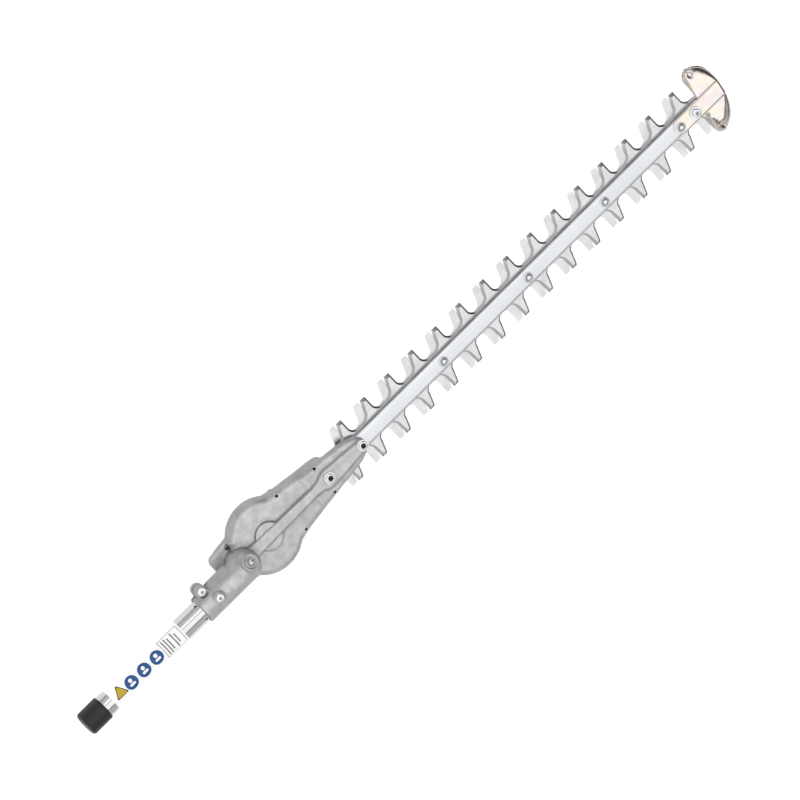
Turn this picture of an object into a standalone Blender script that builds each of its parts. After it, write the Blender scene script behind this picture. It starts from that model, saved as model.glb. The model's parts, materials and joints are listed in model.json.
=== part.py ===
"""Hedge trimmer attachment for a split-shaft tool, built as separate pieces.

Frame: the origin lies on the flat underside of the gearcase cover, below the crank axis.
+X runs along the guide bar to its tip, +Z points to the guide bar's side, +Y is to the left.
Sizes below are in millimetres; heights are counted from the cutting plane between the two
blades, and the empty that everything is parented to lifts that plane to its real height.
"""

import math

import bmesh
import bpy
from mathutils import Euler, Matrix, Vector

MM = 0.001
ROUND_STEPS = 20
SMALL_STEPS = 12
GAP = 0.3

# Heights above the cutting plane
CUT_PLANE_HEIGHT = 13.0
BLADE_GAP = 0.15
BLADE_THICKNESS = 2.5
BAR_LOW = 2.95
BAR_HIGH = 8.6
TUBE_HEIGHT = 29.0
CASE_LOW = -3.0
FLANGE_HIGH = 3.0
ROOF_HIGH = 11.5
BOSS_HIGH = 15.6
RIB_HIGH = 17.6
COVER_HIGH = -4.1
COVER_STEP = -8.0
COVER_LOW = -CUT_PLANE_HEIGHT

# Blades
PITCH = 35.0
SPINE_HALF = 10.2
TOOTH_REACH = 31.0
TOOTH_TIP_HALF = 3.3
STEEP_FLANK_SPREAD = 0.3
SLOPED_FLANK_SPREAD = 4.6
FLANK_ROOT = 17.5
STEEP_GULLET = 7.5
SLOPED_GULLET = 10.0
LEFT_TEETH = 15
RIGHT_TEETH = 16
LEFT_FIRST = 134.5
RIGHT_FIRST = 113.8
LOWER_OFFSET = -9.0
BLADE_END = 645.0

# Drive: scotch yokes on two opposed eccentrics
THROW = 8.0
REST_ANGLE = -math.acos(4.5 / THROW)
CAM_RADIUS = 14.0
YOKE_PLAY = 0.95
YOKE_END_ROOM = 2.9
YOKE_WALL = 4.0
CRANK_RADIUS = 5.0
GEAR_MODULE = 1.5
GEAR_TEETH = 44
PINION_TEETH = 10
GEAR_LOW = 3.2
GEAR_HIGH = 7.6
PINION_X = -GEAR_MODULE * (GEAR_TEETH + PINION_TEETH) / 2
SPINDLE_RADIUS = 4.5
MITRE_MODULE = 1.4
MITRE_TEETH = 14
MITRE_RADIUS = MITRE_MODULE * MITRE_TEETH / 2
MITRE_FACE = 4.5

# Bolts through the bar, as distances from the crank axis
NOSE_BOLTS = (87.0, 135.0)
BAR_BOLTS = (258.0, 383.0, 496.0, 608.0)
TIP_BOLT_X = 630.0
BOLT_RADIUS = 3.0
SLOT_HALF = 3.4
BAR_START = 74.0
BAR_END = 640.0
BAR_TOP_HALF = 7.0
BAR_HALF = 8.8

# Gearcase
BULGE_RADIUS = 41.5
BULGE_X = -1.9
COVER_INSET = 1.3
CASE_FRONT = 95.0
EAR_REAR = -64.3
NOSE_FRONT = 141.6
NECK_RADIUS = 16.0
NECK_REAR = -106.3
GEAR_ROOM_RADIUS = 36.5
GEAR_ROOM_HIGH = 8.5
CHANNEL_HALF = 12.0
MOUTH_HALF = 15.2
CASE_SCREWS = ((-39.0, 19.6), (34.0, 24.5), (82.0, 17.0))
SCREW_BORE = 2.3
SCREW_TAP_HIGH = 6.2
VENT_BORE = 1.2
CLAMP_X = -94.2
CLAMP_Y = 18.0
CLAMP_EAR_HALF = 8.5
LOCATOR_X = -85.3
LOCATOR_Y = 2.0
NIPPLE_TURN = (math.radians(-18.4), math.radians(15.0), 0.0)
NIPPLE_BOSS_RADIUS = 8.2
LOCATOR_SEAT_HIGH = NECK_RADIUS + 0.8
NIPPLE_BOSS_HIGH = NECK_RADIUS + 1.0
SOCKET_FLOOR = 0.4
WASHER_THICKNESS = 1.2
BAR_BOLT_REACH = 8.4

# Drive tube
TUBE_RADIUS = 12.7
TUBE_BORE = 11.0
TUBE_REAR = -272.3
TUBE_FRONT = -68.5
LABEL_SPAN = (-238.0, -136.0)
CAP_REAR = -275.3
CAP_FRONT = -248.3
CAP_RADIUS = 13.9
SHAFT_RADIUS = 4.0
SHAFT_REAR = -258.3
BUSHES = (("shaft_bush_rear", -246.0), ("shaft_bush_front", -133.0))
BUSH_LENGTH = 12.0

# Tip guard
GUARD_SHEET = 1.6
GUARD_STEM_START = 601.0
GUARD_STEM_HALF = 8.0
GUARD_WING_START = 637.4
GUARD_FRONT = 667.4
GUARD_HALF_SPAN = 37.8
GUARD_SKIRT_DROP = 13.0
GUARD_SKIRT_FLARE = 2.2
GUARD_POWER = 2.6
GUARD_REAR_SLANT = 0.105
GUARD_FRONT_SLANT = 0.15
GUARD_WING_SLOPE = 0.03
GUARD_END_RADIUS = 8.0


def new_collection(name):
    collection = bpy.data.collections.new(name)
    bpy.context.scene.collection.children.link(collection)
    return collection


def clear_scene():
    for item in list(bpy.data.objects):
        bpy.data.objects.remove(item, do_unlink=True)


clear_scene()
PARTS = new_collection("hedge_trimmer")
CUTTERS = new_collection("cutters")
BASE = bpy.data.objects.new("cutting_plane", None)
BASE.location = (0.0, 0.0, CUT_PLANE_HEIGHT * MM)
PARTS.objects.link(BASE)


def make_material(name, colour, roughness, metallic):
    material = bpy.data.materials.new(name)
    material.use_nodes = True
    shader = material.node_tree.nodes["Principled BSDF"]
    shader.inputs["Base Color"].default_value = (*colour, 1.0)
    shader.inputs["Roughness"].default_value = roughness
    shader.inputs["Metallic"].default_value = metallic
    material.diffuse_color = (*colour, 1.0)
    return material


CAST = make_material("cast_aluminium", (0.42, 0.42, 0.42), 0.55, 0.85)
TUBE_METAL = make_material("drawn_aluminium", (0.75, 0.76, 0.77), 0.25, 1.0)
BAR_METAL = make_material("bar_aluminium", (0.78, 0.80, 0.82), 0.35, 1.0)
BLADE_STEEL = make_material("blade_steel", (0.70, 0.71, 0.72), 0.30, 1.0)
GUARD_STEEL = make_material("plated_guard_steel", (0.80, 0.76, 0.68), 0.18, 1.0)
ZINC = make_material("zinc_plated_steel", (0.72, 0.75, 0.78), 0.30, 1.0)
GEAR_STEEL = make_material("gear_steel", (0.35, 0.35, 0.36), 0.40, 1.0)
RACE_STEEL = make_material("bearing_steel", (0.60, 0.61, 0.63), 0.20, 1.0)
BRONZE = make_material("bush_bronze", (0.55, 0.38, 0.18), 0.45, 1.0)
RUBBER = make_material("black_plastic", (0.015, 0.015, 0.016), 0.45, 0.0)
FILM = make_material("label_film", (0.90, 0.90, 0.90), 0.40, 0.0)
GASKET = make_material("gasket_fibre", (0.22, 0.20, 0.17), 0.80, 0.0)
FELT = make_material("seal_felt", (0.30, 0.29, 0.26), 0.95, 0.0)


def place(item, material, location=(0, 0, 0), rotation=None, collection=PARTS):
    """Parents a piece to the frame's empty and places it, in millimetres."""
    item.parent = BASE
    item.location = Vector(location) * MM
    if rotation is not None:
        item.rotation_euler = rotation
    if material is not None:
        item.data.materials.clear()
        item.data.materials.append(material)
    collection.objects.link(item)
    return item


def weld_and_orient(mesh):
    """Welds loose caps and turns every face outwards."""
    work = bmesh.new()
    work.from_mesh(mesh)
    bmesh.ops.remove_doubles(work, verts=work.verts, dist=0.00001)
    bmesh.ops.recalc_face_normals(work, faces=work.faces)
    work.to_mesh(mesh)
    work.free()


def smooth(item, degrees=32):
    item.data.shade_smooth()
    item.data.set_sharp_from_angle(angle=math.radians(degrees))
    return item


def plate(name, outlines, low, high, material, rotation=None, location=(0, 0, 0), collection=PARTS):
    """A flat outline, with any holes as further outlines, made thick from low to high."""
    curve = bpy.data.curves.new(name, "CURVE")
    curve.dimensions = "2D"
    curve.fill_mode = "BOTH"
    curve.extrude = (high - low) / 2 * MM
    for outline in outlines:
        spline = curve.splines.new("POLY")
        spline.points.add(len(outline) - 1)
        for point, (x, y) in zip(spline.points, outline):
            point.co = (x * MM, y * MM, 0.0, 1.0)
        spline.use_cyclic_u = True
    drawn = bpy.data.objects.new(name + "_outline", curve)
    bpy.context.scene.collection.objects.link(drawn)
    bpy.context.view_layer.update()
    evaluated = drawn.evaluated_get(bpy.context.evaluated_depsgraph_get())
    mesh = bpy.data.meshes.new_from_object(evaluated)
    mesh.name = name
    bpy.data.objects.remove(drawn, do_unlink=True)
    mesh.transform(Matrix.Translation((0.0, 0.0, (low + high) / 2 * MM)))
    weld_and_orient(mesh)
    return place(bpy.data.objects.new(name, mesh), material, location, rotation, collection)


def turned(name, profile, material, location=(0, 0, 0), rotation=None, steps=ROUND_STEPS, collection=PARTS):
    """A turned solid: profile is (radius, height) pairs, down its outer side, about local Z."""
    mesh = bpy.data.meshes.new(name)
    work = bmesh.new()
    rail = [work.verts.new((radius * MM, 0.0, height * MM)) for radius, height in profile]
    for first, second in zip(rail, rail[1:]):
        work.edges.new((first, second))
    if profile[0][0] > 0:
        work.edges.new((rail[-1], rail[0]))
    bmesh.ops.spin(work, geom=work.verts[:] + work.edges[:], cent=(0, 0, 0), axis=(0, 0, 1),
                   angle=2 * math.pi, steps=steps, use_merge=True)
    bmesh.ops.remove_doubles(work, verts=work.verts, dist=0.00001)
    bmesh.ops.recalc_face_normals(work, faces=work.faces)
    work.to_mesh(mesh)
    work.free()
    item = place(bpy.data.objects.new(name, mesh), material, location, rotation, collection)
    return smooth(item)


def ring(name, inner, outer, low, high, material, location=(0, 0, 0), rotation=None, steps=ROUND_STEPS):
    profile = [(outer, high), (outer, low), (inner, low), (inner, high)]
    return turned(name, profile, material, location, rotation, steps)


def rod_cutter(name, radius, low, high, location=(0, 0, 0), rotation=None, steps=SMALL_STEPS):
    """A cylinder along local Z that cuts or joins."""
    mesh = bpy.data.meshes.new(name)
    work = bmesh.new()
    bmesh.ops.create_cone(work, cap_ends=True, segments=steps, radius1=radius * MM, radius2=radius * MM,
                          depth=(high - low) * MM,
                          matrix=Matrix.Translation((0.0, 0.0, (low + high) / 2 * MM)))
    work.to_mesh(mesh)
    work.free()
    return hide(place(bpy.data.objects.new(name, mesh), None, location, rotation, CUTTERS))


def box_cutter(name, low, high):
    """A box between two corners that cuts or joins."""
    mesh = bpy.data.meshes.new(name)
    work = bmesh.new()
    bmesh.ops.create_cube(work, size=1.0)
    size = [(b - a) * MM for a, b in zip(low, high)]
    centre = [(a + b) / 2 * MM for a, b in zip(low, high)]
    bmesh.ops.scale(work, vec=size, verts=work.verts)
    bmesh.ops.translate(work, vec=centre, verts=work.verts)
    work.to_mesh(mesh)
    work.free()
    return hide(place(bpy.data.objects.new(name, mesh), None, collection=CUTTERS))


def plate_cutter(name, outlines, low, high, **options):
    return hide(plate(name, outlines, low, high, None, collection=CUTTERS, **options))


def hide(item):
    item.hide_render = True
    item.display_type = "WIRE"
    return item


def combine(target, tools, operation):
    """Cuts the tools from a piece, or joins them to it."""
    for tool in tools:
        modifier = target.modifiers.new(tool.name, "BOOLEAN")
        modifier.operation = operation
        modifier.solver = "EXACT"
        modifier.object = tool
    return target


def bevel_edges(item, width, segments, chooser):
    """Rounds the edges that the chooser picks; it gets an edge's two ends in millimetres."""
    work = bmesh.new()
    work.from_mesh(item.data)
    picked = [edge for edge in work.edges
              if edge.calc_face_angle(0.0) > math.radians(40)
              and chooser(edge.verts[0].co / MM, edge.verts[1].co / MM)]
    bmesh.ops.bevel(work, geom=picked, offset=width * MM, segments=segments, affect="EDGES",
                    profile=0.5, clamp_overlap=True)
    bmesh.ops.remove_doubles(work, verts=work.verts, dist=0.00001)
    bmesh.ops.recalc_face_normals(work, faces=work.faces)
    work.to_mesh(item.data)
    work.free()
    return item


def circle(radius, steps=ROUND_STEPS, centre=(0.0, 0.0), start=0.0):
    return [(centre[0] + radius * math.cos(start + 2 * math.pi * k / steps),
             centre[1] + radius * math.sin(start + 2 * math.pi * k / steps)) for k in range(steps)]


def stadium(half_length, half_width, centre=(0.0, 0.0), along_y=False, steps=6):
    """A slot outline with round ends; half_length counts to the end of the round."""
    reach = half_length - half_width
    points = []
    for side in (1, -1):
        for k in range(steps + 1):
            angle = -math.pi / 2 + math.pi * k / steps + (0 if side > 0 else math.pi)
            points.append((side * reach + half_width * math.cos(angle), half_width * math.sin(angle)))
    if along_y:
        points = [(-y, x) for x, y in points]
    return [(centre[0] + x, centre[1] + y) for x, y in points]


def mirrored(half):
    """Closes an outline given for +Y, from rear to front, with its mirror image."""
    other = [(x, -y) for x, y in reversed(half) if abs(y) > 0.001]
    return half + other


def along_x():
    """Turns local Z to world +X."""
    return (0.0, math.pi / 2, 0.0)


# ---------------------------------------------------------------- gearcase

def arc(radius, start_degrees, end_degrees, count, centre=(0.0, 0.0)):
    points = []
    for k in range(count + 1):
        angle = math.radians(start_degrees + (end_degrees - start_degrees) * k / count)
        points.append((centre[0] + radius * math.cos(angle), centre[1] + radius * math.sin(angle)))
    return points


def flange_half(inset=0.0):
    """Left half of the flange outline, from the ear behind the bulge to the case front."""
    rear = [(EAR_REAR + inset, 0.0), (EAR_REAR + inset, 18.5 - inset), (EAR_REAR + 4.5, 23.0 - inset),
            (-47.0, 25.0 - inset)]
    bulge = arc(BULGE_RADIUS - inset, 140.5, 50.0, 14, centre=(BULGE_X, 0.0))
    taper = [(31.0, 30.2 - inset), (42.0, 28.0 - inset), (63.0, 25.1 - inset), (84.0, 22.6 - inset),
             (CASE_FRONT - 3.0, 21.0 - inset), (CASE_FRONT, 19.0 - inset), (CASE_FRONT, 0.0)]
    return rear + bulge + taper


def nose_half(inset=0.0):
    """Left half of the nose roof, which reaches past the flange over the blades."""
    tip = arc(13.5 - inset, 60.0, 0.0, 4, centre=(NOSE_FRONT - 13.5, 0.0))
    return [(60.0, 0.0), (60.0, 22.0 - inset), (CASE_FRONT, 19.4 - inset), (115.0, 17.2 - inset),
            (126.0, 15.4 - inset)] + tip


def rib_half():
    """Left half of the raised rib and the nose plate that it widens into."""
    return [(-36.0, 0.0), (-36.0, 8.2), (0.0, 7.4), (66.0, 5.8), (74.0, 7.0), (82.0, 10.6), (86.0, 10.9),
            (108.0, 9.4), (130.0, 7.2), (139.0, 5.2), (139.6, 0.0)]


def neck_pieces():
    axis = (0.0, 0.0, TUBE_HEIGHT)
    neck = rod_cutter("neck_barrel", NECK_RADIUS, NECK_REAR, PINION_X, location=axis, rotation=along_x(),
                      steps=24)
    tower = rod_cutter("pinion_tower", NECK_RADIUS - 0.05, CASE_LOW + 0.4, TUBE_HEIGHT,
                       location=(PINION_X, 0, 0), steps=24)
    dome_profile = [(NECK_RADIUS * math.cos(math.radians(a)), NECK_RADIUS * math.sin(math.radians(a)))
                    for a in (90, 68, 45, 22, 0, -20)]
    dome = hide(turned("neck_dome", [(0.0, NECK_RADIUS)] + dome_profile[1:] + [(0.0, -6.0)], None,
                       location=(PINION_X, 0, TUBE_HEIGHT), steps=24, collection=CUTTERS))
    web = box_cutter("neck_web", (PINION_X - 20.0, -6.0, 0.5), (PINION_X + 1.0, 6.0, TUBE_HEIGHT - 10.0))
    ears = []
    for name, low in (("clamp_ear_upper", 1.2), ("clamp_ear_lower", -CLAMP_EAR_HALF)):
        outline = [(CLAMP_X - 6.8, 4.0), (CLAMP_X + 6.8, 4.0)]
        outline += arc(6.8, 0.0, 180.0, 8, centre=(CLAMP_X, CLAMP_Y))
        ears.append(plate_cutter(name, [outline], TUBE_HEIGHT + low, TUBE_HEIGHT + low + 7.3))
    boss = rod_cutter("nipple_boss", NIPPLE_BOSS_RADIUS, 13.2, NIPPLE_BOSS_HIGH, rotation=NIPPLE_TURN,
                      location=(PINION_X, 0.0, TUBE_HEIGHT))
    seat = rod_cutter("locator_seat", 6.0, 10.0, LOCATOR_SEAT_HIGH,
                      location=(LOCATOR_X, LOCATOR_Y, TUBE_HEIGHT))
    return [neck, tower, dome, web, boss, seat] + ears


def neck_cuts():
    axis = (0.0, 0.0, TUBE_HEIGHT)
    turn = along_x()
    return [
        rod_cutter("tube_bore", TUBE_RADIUS + GAP, NECK_REAR - 5.0, TUBE_FRONT + GAP, axis, turn, 32),
        rod_cutter("shaft_bearing_bore", 11.6, TUBE_FRONT - 1.0, -53.0, axis, turn, 24),
        rod_cutter("mitre_room", 12.4, -53.4, PINION_X, axis, turn, 24),
        rod_cutter("mitre_gear_room", 12.45, 16.4, TUBE_HEIGHT + 2.5, (PINION_X, 0, 0), None, 24),
        rod_cutter("spindle_bearing_bore", 11.3, 9.6, 16.8, (PINION_X, 0, 0), None, 24),
        rod_cutter("pinion_room", 10.6, CASE_LOW - 1.0, 9.9, (PINION_X, 0, 0), None, 24),
        box_cutter("clamp_slit", (NECK_REAR - 2.0, 8.0, TUBE_HEIGHT - 1.2),
                   (CLAMP_X + 12.0, CLAMP_Y + 12.0, TUBE_HEIGHT + 1.2)),
        rod_cutter("clamp_bore", BOLT_RADIUS + GAP, TUBE_HEIGHT - 20.0, TUBE_HEIGHT + 20.0,
                   (CLAMP_X, CLAMP_Y, 0)),
        rod_cutter("clamp_spotface", 5.8, TUBE_HEIGHT + CLAMP_EAR_HALF, TUBE_HEIGHT + 20.0,
                   (CLAMP_X, CLAMP_Y, 0)),
        rod_cutter("locator_bore", BOLT_RADIUS + GAP, 5.0, 25.0, (LOCATOR_X, LOCATOR_Y, TUBE_HEIGHT)),
        rod_cutter("nipple_bore", 2.0 + GAP, 6.0, 25.0, (PINION_X, 0, TUBE_HEIGHT), NIPPLE_TURN),
    ]


def make_gearcase_main():
    case = plate("gearcase_main", [mirrored(flange_half())], CASE_LOW, FLANGE_HIGH, CAST)
    bevel_edges(case, 1.2, 1, lambda a, b: min(a.z, b.z) > FLANGE_HIGH - 0.1)
    upper = plate_cutter("case_upper", [mirrored(flange_half(0.5)[3:])], 0.0, ROOF_HIGH)
    bevel_edges(upper, 4.2, 2, lambda a, b: min(a.z, b.z) > ROOF_HIGH - 0.1)
    nose = plate_cutter("case_nose", [mirrored(nose_half())], BAR_LOW + 0.02, ROOF_HIGH + 2.0)
    bevel_edges(nose, 2.6, 2, lambda a, b: min(a.z, b.z) > ROOF_HIGH + 1.9)
    boss = rod_cutter("case_boss", 15.3, 6.0, BOSS_HIGH, steps=32)
    rib = plate_cutter("case_rib", [mirrored(rib_half())], 5.0, RIB_HIGH)
    bevel_edges(rib, 1.4, 1, lambda a, b: min(a.z, b.z) > RIB_HIGH - 0.1)
    combine(case, [upper, nose, boss, rib] + neck_pieces(), "UNION")
    cuts = neck_cuts()
    cuts.append(rod_cutter("gear_room", GEAR_ROOM_RADIUS, CASE_LOW - 1.0, GEAR_ROOM_HIGH, steps=36))
    cuts.append(rod_cutter("crank_bearing_bore", 10.8, GEAR_ROOM_HIGH - 1.0, 12.6, steps=24))
    cuts.append(box_cutter("blade_channel", (20.0, -CHANNEL_HALF, CASE_LOW - 1.5),
                           (CASE_FRONT + 5.0, CHANNEL_HALF, BAR_LOW)))
    cuts.append(box_cutter("blade_mouth", (CASE_FRONT - 8.5, -MOUTH_HALF, CASE_LOW - 1.5),
                           (CASE_FRONT + 5.0, MOUTH_HALF, BAR_LOW)))
    cuts.append(box_cutter("bar_channel", (BAR_START - 1.0, -BAR_HALF - GAP, BAR_LOW - 1.0),
                           (NOSE_FRONT + 5.0, BAR_HALF + GAP, BAR_HIGH + GAP)))
    for number, x in enumerate(NOSE_BOLTS, 1):
        cuts.append(rod_cutter(f"nose_bore_{number}", BOLT_RADIUS + GAP, 0.0, 25.0, (x, 0, 0)))
    for number, (x, y) in enumerate(screw_places(), 1):
        cuts.append(rod_cutter(f"screw_bore_{number}", SCREW_BORE, CASE_LOW - 1.0, SCREW_TAP_HIGH,
                               (x, y, 0)))
        cuts.append(rod_cutter(f"vent_{number}", VENT_BORE, 0.0, 20.0, (x, y, 0), steps=8))
    return combine(case, cuts, "DIFFERENCE")


def screw_places():
    return [(x, side * y) for x, y in CASE_SCREWS for side in (1, -1)]


def make_gearcase_cover():
    cover = plate("gearcase_cover", [mirrored(flange_half(COVER_INSET))], COVER_STEP, COVER_HIGH, CAST)
    bevel_edges(cover, 1.0, 1, lambda a, b: max(a.z, b.z) < COVER_STEP + 0.1)
    pan = plate_cutter("cover_pan", [mirrored(flange_half(COVER_INSET + 2.6))], COVER_LOW, COVER_STEP + 1.5)
    bevel_edges(pan, 2.4, 2, lambda a, b: max(a.z, b.z) < COVER_LOW + 0.1)
    combine(cover, [pan], "UNION")
    room = rod_cutter("cover_room", GEAR_ROOM_RADIUS - 1.5, -9.6, COVER_HIGH + 1.0, steps=36)
    crank_post = rod_cutter("crank_post", 13.6, -12.0, -4.4, steps=24)
    combine(room, [crank_post], "DIFFERENCE")
    cuts = [room]
    cuts.append(rod_cutter("cover_crank_bore", 10.8, -9.8, 0.0, steps=24))
    cuts.append(rod_cutter("cover_spindle_bore", 11.3, -10.0, 0.0, (PINION_X, 0, 0), steps=24))
    cuts.append(box_cutter("cover_channel", (30.0, -CHANNEL_HALF, -9.0),
                           (72.0, CHANNEL_HALF, COVER_HIGH + 1.0)))
    cuts.append(box_cutter("felt_groove", (77.0 - GAP, -CHANNEL_HALF - GAP, -7.0),
                           (83.0 + GAP, CHANNEL_HALF + GAP, COVER_HIGH + 1.0)))
    cuts.append(rod_cutter("cover_nose_bore", BOLT_RADIUS + GAP, -20.0, 0.0, (NOSE_BOLTS[0], 0, 0)))
    cuts.append(rod_cutter("cover_nut_well", 6.9, -20.0, COVER_STEP, (NOSE_BOLTS[0], 0, 0)))
    for number, (x, y) in enumerate(screw_places(), 1):
        cuts.append(rod_cutter(f"cover_bore_{number}", 2.3, -20.0, 0.0, (x, y, 0), steps=12))
        cuts.append(rod_cutter(f"cover_well_{number}", 4.3, -20.0, COVER_STEP, (x, y, 0)))
    return combine(cover, cuts, "DIFFERENCE")


def make_gasket():
    outline = mirrored(flange_half(COVER_INSET + GAP))
    gasket = plate("cover_gasket", [outline], COVER_HIGH + GAP, CASE_LOW - GAP, GASKET)
    cuts = [rod_cutter("gasket_room", GEAR_ROOM_RADIUS, -10.0, 5.0, steps=36)]
    cuts.append(rod_cutter("gasket_pinion_hole", 11.4, -10.0, 5.0, (PINION_X, 0, 0)))
    cuts.append(box_cutter("gasket_mouth", (20.0, -CHANNEL_HALF, -10.0),
                           (CASE_FRONT + 5.0, CHANNEL_HALF, 5.0)))
    for number, (x, y) in enumerate(screw_places(), 1):
        cuts.append(rod_cutter(f"gasket_bore_{number}", 2.5, -10.0, 5.0, (x, y, 0), steps=8))
    return combine(gasket, cuts, "DIFFERENCE")


# ---------------------------------------------------------------- fasteners

def socket_screw(name, spot, head_radius, head_height, shank_radius, shank_length, socket=2.5,
                 rotation=None, material=ZINC, head_round=0.6):
    """A socket head screw: the head stands up along local Z, the shank hangs down."""
    profile = [(0.0, head_height), (head_radius - head_round, head_height),
               (head_radius, head_height - head_round), (head_radius, 0.0), (shank_radius, 0.0),
               (shank_radius, -shank_length), (0.0, -shank_length)]
    screw = turned(name, profile, material, spot, rotation, SMALL_STEPS)
    recess = rod_cutter(name + "_socket", socket, SOCKET_FLOOR * head_height, head_height + 2.0,
                        spot, rotation, steps=6)
    return combine(screw, [recess], "DIFFERENCE")


def hex_nut(name, spot, radius, bore, low, high, material=ZINC):
    outline = circle(radius, 6)
    return plate(name, [outline, circle(bore, 12)], low, high, material, location=spot)


def make_fasteners():
    for number, (x, y) in enumerate(screw_places(), 1):
        socket_screw(f"case_screw_{number}", (x, y, COVER_STEP - GAP), 3.8, 3.2, 1.95, 8.6,
                     rotation=(math.pi, 0.0, 0.0), socket=1.9)
    for name, x, low in zip(("nose_bolt_rear", "nose_bolt_front"), NOSE_BOLTS, (-12.2, -8.4)):
        socket_screw(name, (x, 0, RIB_HIGH + GAP), 5.0, 3.2, BOLT_RADIUS, RIB_HIGH + GAP - low)
    hex_nut("nose_nut_rear", (NOSE_BOLTS[0], 0, 0), 5.8, BOLT_RADIUS + GAP, -12.0, COVER_STEP - GAP)
    hex_nut("nose_nut_front", (NOSE_BOLTS[1], 0, 0), 5.8, BOLT_RADIUS + GAP, -7.2, -2.95)
    for number, x in enumerate(BAR_BOLTS, 1):
        base = BAR_HIGH + GAP + (GUARD_SHEET + GAP if number == len(BAR_BOLTS) else 0.0)
        socket_screw(f"bar_bolt_{number}", (x, 0, base), 4.9, 2.2, BOLT_RADIUS,
                     base + BAR_BOLT_REACH)
        hex_nut(f"bar_nut_{number}", (x, 0, 0), 5.8, BOLT_RADIUS + GAP, -7.2, -2.95)
    guard_top = BAR_HIGH + GAP + GUARD_SHEET
    ring("tip_washer", BOLT_RADIUS + GAP, 7.0, guard_top + GAP,
         guard_top + GAP + WASHER_THICKNESS, ZINC, (TIP_BOLT_X, 0, 0))
    socket_screw("tip_bolt", (TIP_BOLT_X, 0, guard_top + 2 * GAP + WASHER_THICKNESS), 4.6, 3.6,
                 BOLT_RADIUS, 8.2)
    socket_screw("clamp_screw", (CLAMP_X, CLAMP_Y, TUBE_HEIGHT + CLAMP_EAR_HALF + GAP), 5.0, 3.6,
                 BOLT_RADIUS, 15.0)
    socket_screw("locating_screw", (LOCATOR_X, LOCATOR_Y, TUBE_HEIGHT + LOCATOR_SEAT_HIGH + GAP), 5.0, 3.2,
                 BOLT_RADIUS, 3.2)
    nipple = [(0.0, 7.0), (1.6, 7.0), (2.3, 6.0), (1.7, 4.6), (1.7, 3.6), (3.2, 3.4), (3.2, 0.0),
              (2.0, 0.0), (2.0, -3.5), (0.0, -3.5)]
    lift = Euler(NIPPLE_TURN).to_matrix() @ Vector((0.0, 0.0, NIPPLE_BOSS_HIGH + GAP))
    turned("grease_nipple", nipple, ZINC, Vector((PINION_X, 0, TUBE_HEIGHT)) + lift, NIPPLE_TURN, 12)


# ---------------------------------------------------------------- tube, shaft and cap

def make_tube_group():
    axis = (0.0, 0.0, TUBE_HEIGHT)
    turn = along_x()
    tube = ring("drive_tube", TUBE_BORE, TUBE_RADIUS, TUBE_REAR, TUBE_FRONT, TUBE_METAL, axis, turn, 32)
    hole = rod_cutter("tube_locator_hole", BOLT_RADIUS + GAP, 5.0, 20.0, (LOCATOR_X, LOCATOR_Y, TUBE_HEIGHT))
    combine(tube, [hole], "DIFFERENCE")
    ring("tube_label", TUBE_RADIUS + 0.15, TUBE_RADIUS + 0.35, *LABEL_SPAN, FILM, axis, turn, 32)
    cap = [(0.0, CAP_REAR), (CAP_RADIUS - 3.0, CAP_REAR), (CAP_RADIUS - 0.9, CAP_REAR + 0.9),
           (CAP_RADIUS, CAP_REAR + 3.0), (CAP_RADIUS, CAP_FRONT - 0.8), (CAP_RADIUS - 0.8, CAP_FRONT),
           (TUBE_RADIUS + GAP, CAP_FRONT), (TUBE_RADIUS + GAP, TUBE_REAR - GAP), (0.0, TUBE_REAR - GAP)]
    turned("end_cap", cap, RUBBER, axis, turn, 32)
    shaft = [(0.0, -46.5), (SHAFT_RADIUS, -46.5), (SHAFT_RADIUS, SHAFT_REAR + 1.0),
             (SHAFT_RADIUS - 1.0, SHAFT_REAR), (0.0, SHAFT_REAR)]
    turned("drive_shaft", shaft, GEAR_STEEL, axis, turn, SMALL_STEPS)
    for name, low in BUSHES:
        ring(name, SHAFT_RADIUS + GAP, TUBE_BORE - GAP, low, low + BUSH_LENGTH, BRONZE, axis, turn, 24)
    for name, low in (("shaft_bearing_rear", -67.0), ("shaft_bearing_front", -60.5)):
        bearing(name, SHAFT_RADIUS + GAP, 11.3, low, low + 6.0, axis, turn)
    ring("shaft_circlip", SHAFT_RADIUS + GAP, 6.4, -68.6, -67.3, GEAR_STEEL, axis, turn, 16)


def bearing(name, inner, outer, low, high, location=(0, 0, 0), rotation=None):
    """A ball bearing as its two races; the balls between them are left to the detailed model."""
    band = (outer - inner) * 0.3
    ring(name + "_outer_race", outer - band, outer, low, high, RACE_STEEL, location, rotation, 16)
    ring(name + "_inner_race", inner, inner + band, low, high, RACE_STEEL, location, rotation, 16)


# ---------------------------------------------------------------- gears and crank

def involute(angle):
    return math.tan(angle) - angle


def gear_outline(teeth, module, start, flank_steps, pressure=math.radians(25), addendum=0.72,
                 dedendum=1.0, backlash=0.2):
    """Spur gear outline with involute flanks; start is the direction of a tooth's middle."""
    pitch_radius = module * teeth / 2
    base = pitch_radius * math.cos(pressure)
    tip = pitch_radius + addendum * module
    root = pitch_radius - dedendum * module
    half_tooth = math.pi / (2 * teeth) - backlash / (2 * pitch_radius)
    points = []
    low = max(base, root)
    radii = [low + (tip - low) * k / flank_steps for k in range(flank_steps + 1)]
    for tooth in range(teeth):
        middle = start + 2 * math.pi * tooth / teeth
        flank = []
        for radius in radii:
            pressure_here = math.acos(min(1.0, base / radius))
            flank.append((radius, half_tooth + involute(pressure) - involute(pressure_here)))
        if root < base:
            flank.insert(0, (root, flank[0][1]))
        for radius, half in flank:
            points.append((radius * math.cos(middle - half), radius * math.sin(middle - half)))
        for radius, half in reversed(flank):
            points.append((radius * math.cos(middle + half), radius * math.sin(middle + half)))
    return points


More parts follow.
